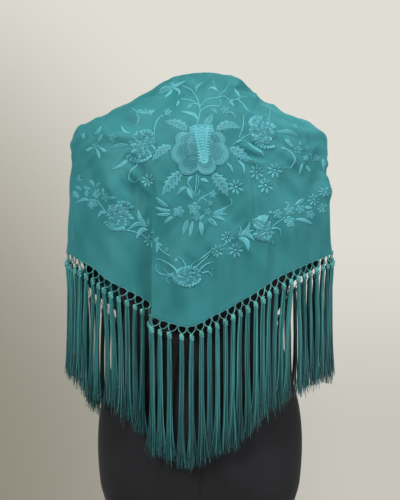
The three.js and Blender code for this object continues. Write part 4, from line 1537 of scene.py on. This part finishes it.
# %% The floss's finish
def silk_finish():
    """Satin stitch: bright, close threads that lie across each petal."""
    finish = Finish("silk_floss")
    along, across, _ = finish.parts(finish.chart())
    place = finish.object_place()
    thread = finish.wave(along * 9000 + across * 3000)
    cloud = finish.noise(place, 900, 2)
    # The tone holds each motif's own tone together with its painted highlight and shade.
    tone = finish.attribute("tone")
    bright = finish.rise(tone * 0.75 + cloud * 0.25, 0.2, 0.95)
    colour = finish.mix(bright, tint(20, 84, 91), tint(82, 157, 166))
    return finish.surface({
        "Base Color": colour,
        "Roughness": finish.rise(cloud, 0.3, 0.7, 0.38, 0.5),
        "Normal": finish.bump(thread * 0.6 + cloud * 0.4, 0.00035, 0.6),
        "Specular IOR Level": 0.22,
        "Sheen Weight": 0.06,
        "Sheen Roughness": 0.35,
        "Sheen Tint": tint(140, 235, 240),
    })


SILK = silk_finish()
print("finish:", SILK.name)

# %% [markdown]
# The rose is worked from the back petals forward, each one a patch of stitch rows that narrow
# towards the flower's middle, and its heart is a column of short scalloped rows. The round heads
# are small petals laid in a spiral over padding, which leaves no gap and repeats no row. The leaves
# are single blades with teeth along both edges.

# %% Rose, carnations and peonies
def rose(floss):
    """Petals with rows of stitches, then the heart's scalloped rows from the top down."""
    for x, z, wide, tall, turn, lift, rows in ROSE:
        tone = 0.44 + 0.05 * uneven(x, z)
        pull = (0.75 * (ROSE_MIDDLE[0] - x), 0.6 * (ROSE_MIDDLE[1] - z))
        floss.dome(x, z, wide, tall, turn, 1.1, tone, rows=rows, lift=lift, rim=0.2, lobes=3,
                   deep=0.04, pull=pull)
    for k in range(13):
        middle = 1361 - 4.4 * k
        reach = 17.5 - 0.8 * k + 1.2 * uneven(k, 3)
        swing = 1.9 - 0.07 * k
        turns = 9.4 + 0.8 * uneven(k, 1)
        wave = [
            (2 + 0.35 * k + reach * t,
             middle - 3 + swing * math.cos(turns * t + 0.7 * uneven(k, 2)) + 5.5 * abs(t) ** 1.6)
            for t in np.linspace(-1, 1, 31)
        ]
        tone = 0.84 + 0.1 * uneven(k, 1) + 0.14 * math.exp(-((k - 3) ** 2) / 8)
        floss.blade(wave, 4.6, taper_both, 1.0, tone, lift=1.6, edge=0.45, step_length=0.8)


FLOWERS = Floss("embroidered_flowers")
rose(FLOWERS)
for width, *path in SERRATED:
    FLOWERS.blade(path, width * 1.1, leaf_shape, 1.3, 0.61, vein=0.4, teeth=6, rib=0.3, edge=0.45)
for head, *frills in HEADS:
    carnation(FLOWERS, *head)
    for row in frills:
        frill(FLOWERS, *row)
FLOWER_PIECE = FLOWERS.lay(SILK)

# %% [markdown]
# The rest is light work in one piece: stalks in stem stitch, tendrils that taper, leaves with a
# vein left open along the middle, stars of eight petals and florets of five. A blade, the same
# strip of satin stitch, makes nearly all of them with another width and outline.

# %% Leaves, stars and stalks
SPRAYS = Floss("embroidered_sprays")
for width, *path in STEMS:
    SPRAYS.blade(path, width * 1.35, stem_shape, 1.2, 0.82)
for width, *path in TENDRILS:
    SPRAYS.blade(path, width * 1.2, taper_shape, 1.6, 0.85)
for width, *path in LEAVES:
    tone = 0.74 + 0.1 * uneven(path[-1][0], path[-1][1])
    SPRAYS.blade(path, width * 0.8, leaf_shape, 1.5, tone, vein=0.5, edge=0.45)
for radius, place, turn in STARS:
    star(SPRAYS, radius, place, turn)
for radius, place in ROSETTES:
    rosette(SPRAYS, radius, place)
for radius, place in BUDS:
    bud(SPRAYS, 1.25 * radius, place)
SPRAY_PIECE = SPRAYS.lay(SILK)

# %% [markdown]
# The dress form is a padded shell under tight black jersey, with a fine knit and a sewn seam down the
# middle of the back and of the front. It is one smooth grid through the same sections as its solid.

# %% The dress form
def jersey_finish():
    finish = Finish("black_jersey")
    place = finish.object_place()
    x, _, z = finish.parts(place)
    rib = finish.wave(x * 5200 + z * 120) * finish.wave(z * 4300)
    cloud = finish.noise(place, 14, 3)
    from_middle = finish.node("ShaderNodeMath", {"operation": "ABSOLUTE"}, {0: x})
    seam = finish.rise(from_middle, 0.0006, 0.0022)
    colour = finish.mix(finish.rise(cloud, 0.3, 0.7), tint(8, 9, 12), tint(17, 18, 22))
    return finish.surface({
        "Base Color": finish.mix(seam, tint(5, 5, 7), colour),
        "Roughness": finish.rise(rib, 0, 1, 0.8, 0.92),
        "Normal": finish.bump(rib * 0.25 + seam, 0.0008, 0.5),
        "Specular IOR Level": 0.25,
        "Sheen Weight": 0.04,
        "Sheen Roughness": 0.5,
    })


JERSEY = jersey_finish()
print("finish:", JERSEY.name)


# %% The shell of the form
def make_form():
    """One closed grid: even level sections, closer over the shoulders, and a point at each end."""
    levels = np.concatenate([np.linspace(1436, 1340, 34), np.linspace(1336, 760, 90)])
    turn = np.linspace(0, 2 * np.pi, 109)[:-1]
    z, angle = np.meshgrid(levels, turn, indexing="ij")
    x, y = outline(TORSO, z, angle)
    points = np.stack([x, y, z], -1).reshape(-1, 3)
    faces = grid_faces(len(levels), len(turn), closed=True).tolist()
    count = len(points)
    ends = [(0, 0, 1436), (0, 0, 760)]
    faces += [(count, j, (j + 1) % len(turn)) for j in range(len(turn))]
    last = (len(levels) - 1) * len(turn)
    faces += [(count + 1, last + (j + 1) % len(turn), last + j) for j in range(len(turn))]
    return new_piece("form_jersey", np.concatenate([points, ends]), faces, JERSEY)


FORM_PIECE = make_form()
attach(FORM_PIECE, "root")
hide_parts("form_torso")
print("form:", len(FORM_PIECE.data.polygons), "faces")

# %% [markdown]
# The stand is turned and welded metal: a weighted plate with a softened edge, a tube and a flange.
# A round piece is its profile spun about its axis, so each is a list of radii and heights with
# small bevels, and one grid closes them at the axis. The cap that shuts the neck is made so too.

# %% Round pieces
ROUND_SIDES = 96
ROUGH_SPREAD = 0.07


def metal_finish(name, dark, light, rough, metallic, brushed):
    """Powder coat, plastic or brushed metal, uneven in colour and in shine."""
    finish = Finish(name)
    place = finish.object_place()
    if brushed:
        lines = finish.noise(finish.stretch(place, 40, 40, 900), 1, 3)
    else:
        lines = finish.noise(place, 420, 3)
    cloud = finish.noise(place, 22, 3)
    return finish.surface({
        "Base Color": finish.mix(finish.rise(lines * 0.5 + cloud * 0.5, 0.3, 0.7), dark, light),
        "Metallic": metallic,
        "Roughness": finish.rise(
            lines * 0.6 + cloud * 0.4, 0.3, 0.7, rough - ROUGH_SPREAD, rough + ROUGH_SPREAD
        ),
        "Normal": finish.bump(lines, 0.0002, 0.4),
    })


def turned_piece(name, node, finish, profile, bevel):
    """A closed round solid: the profile's inner corners are cut by small bevels."""
    cut = [profile[0]]
    for before, here, after in zip(profile, profile[1:], profile[2:]):
        for other in (before, after):
            length = math.dist(here, other)
            share = min(bevel / length, 0.4)
            cut.append(tuple(h + (o - h) * share for h, o in zip(here, other)))
    cut.append(profile[-1])
    turn = np.linspace(0, 2 * np.pi, ROUND_SIDES + 1)[:-1]
    rings = [(r * np.cos(turn), r * np.sin(turn), np.full(ROUND_SIDES, z)) for r, z in cut[1:-1]]
    points = np.concatenate([np.stack(ring, -1) for ring in rings])
    faces = [face[::-1] for face in grid_faces(len(rings), ROUND_SIDES, closed=True).tolist()]
    count, last = len(points), (len(rings) - 1) * ROUND_SIDES
    for j in range(ROUND_SIDES):
        k = (j + 1) % ROUND_SIDES
        faces += [(count, k, j), (count + 1, last + j, last + k)]
    ends = [(0, 0, profile[0][1]), (0, 0, profile[-1][1])]
    piece = new_piece(name, np.concatenate([points, ends]), faces, finish)
    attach(piece, "root")
    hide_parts(node)
    print(name + ":", len(piece.data.polygons), "faces")


print("a round piece has", ROUND_SIDES, "sides")


# %% The stand and the neck cap
POWDER_COAT = metal_finish("powder_coat", tint(20, 20, 22), tint(34, 34, 37), 0.5, 0.0, False)
STEEL = metal_finish("brushed_steel", tint(150, 150, 148), tint(196, 196, 193), 0.32, 1.0, True)
CAP_PLASTIC = metal_finish("satin_cap", tint(22, 22, 24), tint(36, 36, 39), 0.42, 0.0, False)
BASE_SLOPE = [(175 - 136 * t, 5 + 9 * math.sin(t * math.pi / 2)) for t in np.linspace(0, 1, 13)]
turned_piece("stand_base_plate", "stand_base", POWDER_COAT,
             [(0, 0), (175, 0), *BASE_SLOPE, (0, 14)], 0.8)
turned_piece("stand_tube", "stand_pole", STEEL,
             [(0, 14.3), (13, 14.3), (13, 751.4), (0, 751.4)], 0.6)
turned_piece("stand_plate", "stand_flange", STEEL,
             [(0, 751.7), (48, 751.7), (48, 759.7), (0, 759.7)], 0.8)
turned_piece("neck_cap", "form_neck_cap", CAP_PLASTIC,
             [(0, 1436.3), (56, 1436.3), (56, 1441.3), (54, 1443.3), (0, 1443.3)], 0.7)

# %% [markdown]
# The shawl is seen from behind, level with the shoulder blades. A window on the left models the folds, a
# soft ceiling and a fill open the shadows, and a weaker light lies on the far side. The wall is the
# background, with painted shade that darkens it on the left and low down, and the floor is plain.

# %% Stage, lights and camera
CAMERA_HEIGHT = 1.170
CAMERA_AWAY = 2.0
PHOTO_TALL = 0.825
AMBIENT = 0.42
FLOOR_REACH = 1600
# Name, place, aim, size, power and colour.
LIGHTS = (
    ("window", (-1.5, -1.85, 2.4), (0, 0, 1.2), 0.5, 76, (1.0, 0.99, 0.97)),
    ("ceiling", (0.5, -0.5, 2.9), (0, 0, 1.3), 1.2, 28, (1.0, 1.0, 0.99)),
    ("fill", (2.0, -1.35, 1.7), (0, 0, 1.15), 1.4, 46, (0.97, 0.99, 1.0)),
    ("far_side", (0.5, 2.1, 1.4), (0, 0, 1.2), 1.4, 18, (1.0, 0.99, 0.97)),
)


def add_light(name, place, aim, size, power, colour):
    """A round soft light at a place, turned to face its aim."""
    data = bpy.data.lights.new(name, "AREA")
    data.shape = "DISK"
    data.size = size
    data.energy = power
    data.color = colour
    light = new_object(name, data)
    light.location = place
    away = np.array(place) - np.array(aim)
    flat = math.hypot(away[0], away[1])
    light.rotation_euler = (math.atan2(flat, away[2]), 0, math.atan2(away[0], -away[1]))


print(len(LIGHTS), "lights, with the camera", CAMERA_AWAY, "m away")


# %% Floor and room
def make_floor():
    finish = Finish("pale_floor")
    grain = finish.noise(finish.object_place(), 3, 3)
    colour = finish.mix(grain, tint(203, 197, 188), tint(216, 211, 203))
    material = finish.surface({"Base Color": colour, "Roughness": 0.8})
    corners = [(-1, -1), (1, -1), (1, 1), (-1, 1)]
    points = [(x * FLOOR_REACH, y * FLOOR_REACH, 0) for x, y in corners]
    new_piece("floor", points, [(0, 1, 2, 3)], material)


def make_room():
    """The wall that the camera sees, with painted shade on the left and low down, and an even dim light
    from all round.
    """
    world = bpy.data.worlds.new("pale_room")
    world.use_nodes = True
    world.node_tree.nodes.clear()
    room = Shading(world.node_tree)
    across, along, up = room.parts(room.node("ShaderNodeTexCoord", out="Generated"))
    # Painted shade on the wall: its colour darkens towards the floor and towards the left.
    pale = room.mix(room.rise(up, -0.15, 0.02), tint(200, 197, 189), tint(224, 221, 213))
    painted_shade_side = across + up * 0.55 + along * -2.2 + 2.2
    wall = room.mix(room.rise(painted_shade_side, -0.25, 0.09), tint(140, 135, 120), pale)
    seen = room.node("ShaderNodeBackground", values={"Color": wall, "Strength": 1.0})
    dim_values = {"Color": tint(222, 222, 222), "Strength": AMBIENT}
    dim = room.node("ShaderNodeBackground", values=dim_values)
    camera_ray = room.node("ShaderNodeLightPath", out="Is Camera Ray")
    both = room.node("ShaderNodeMixShader", values={0: camera_ray, 1: dim, 2: seen})
    room.node("ShaderNodeOutputWorld", values={"Surface": both})
    bpy.context.scene.world = world


print("the even light from all round has strength", AMBIENT)


# %% Camera, and all of the stage
def make_camera():
    data = bpy.data.cameras.new("camera")
    data.sensor_width = 36
    data.lens = data.sensor_width * CAMERA_AWAY / PHOTO_TALL
    camera = new_object("camera", data)
    camera.location = (0, -CAMERA_AWAY, CAMERA_HEIGHT)
    camera.rotation_euler = (math.pi / 2, 0, 0)
    bpy.context.scene.camera = camera


make_floor()
make_room()
make_camera()
for light_row in LIGHTS:
    add_light(*light_row)
bpy.context.scene.view_settings.view_transform = "Standard"
print("stage and camera ready")
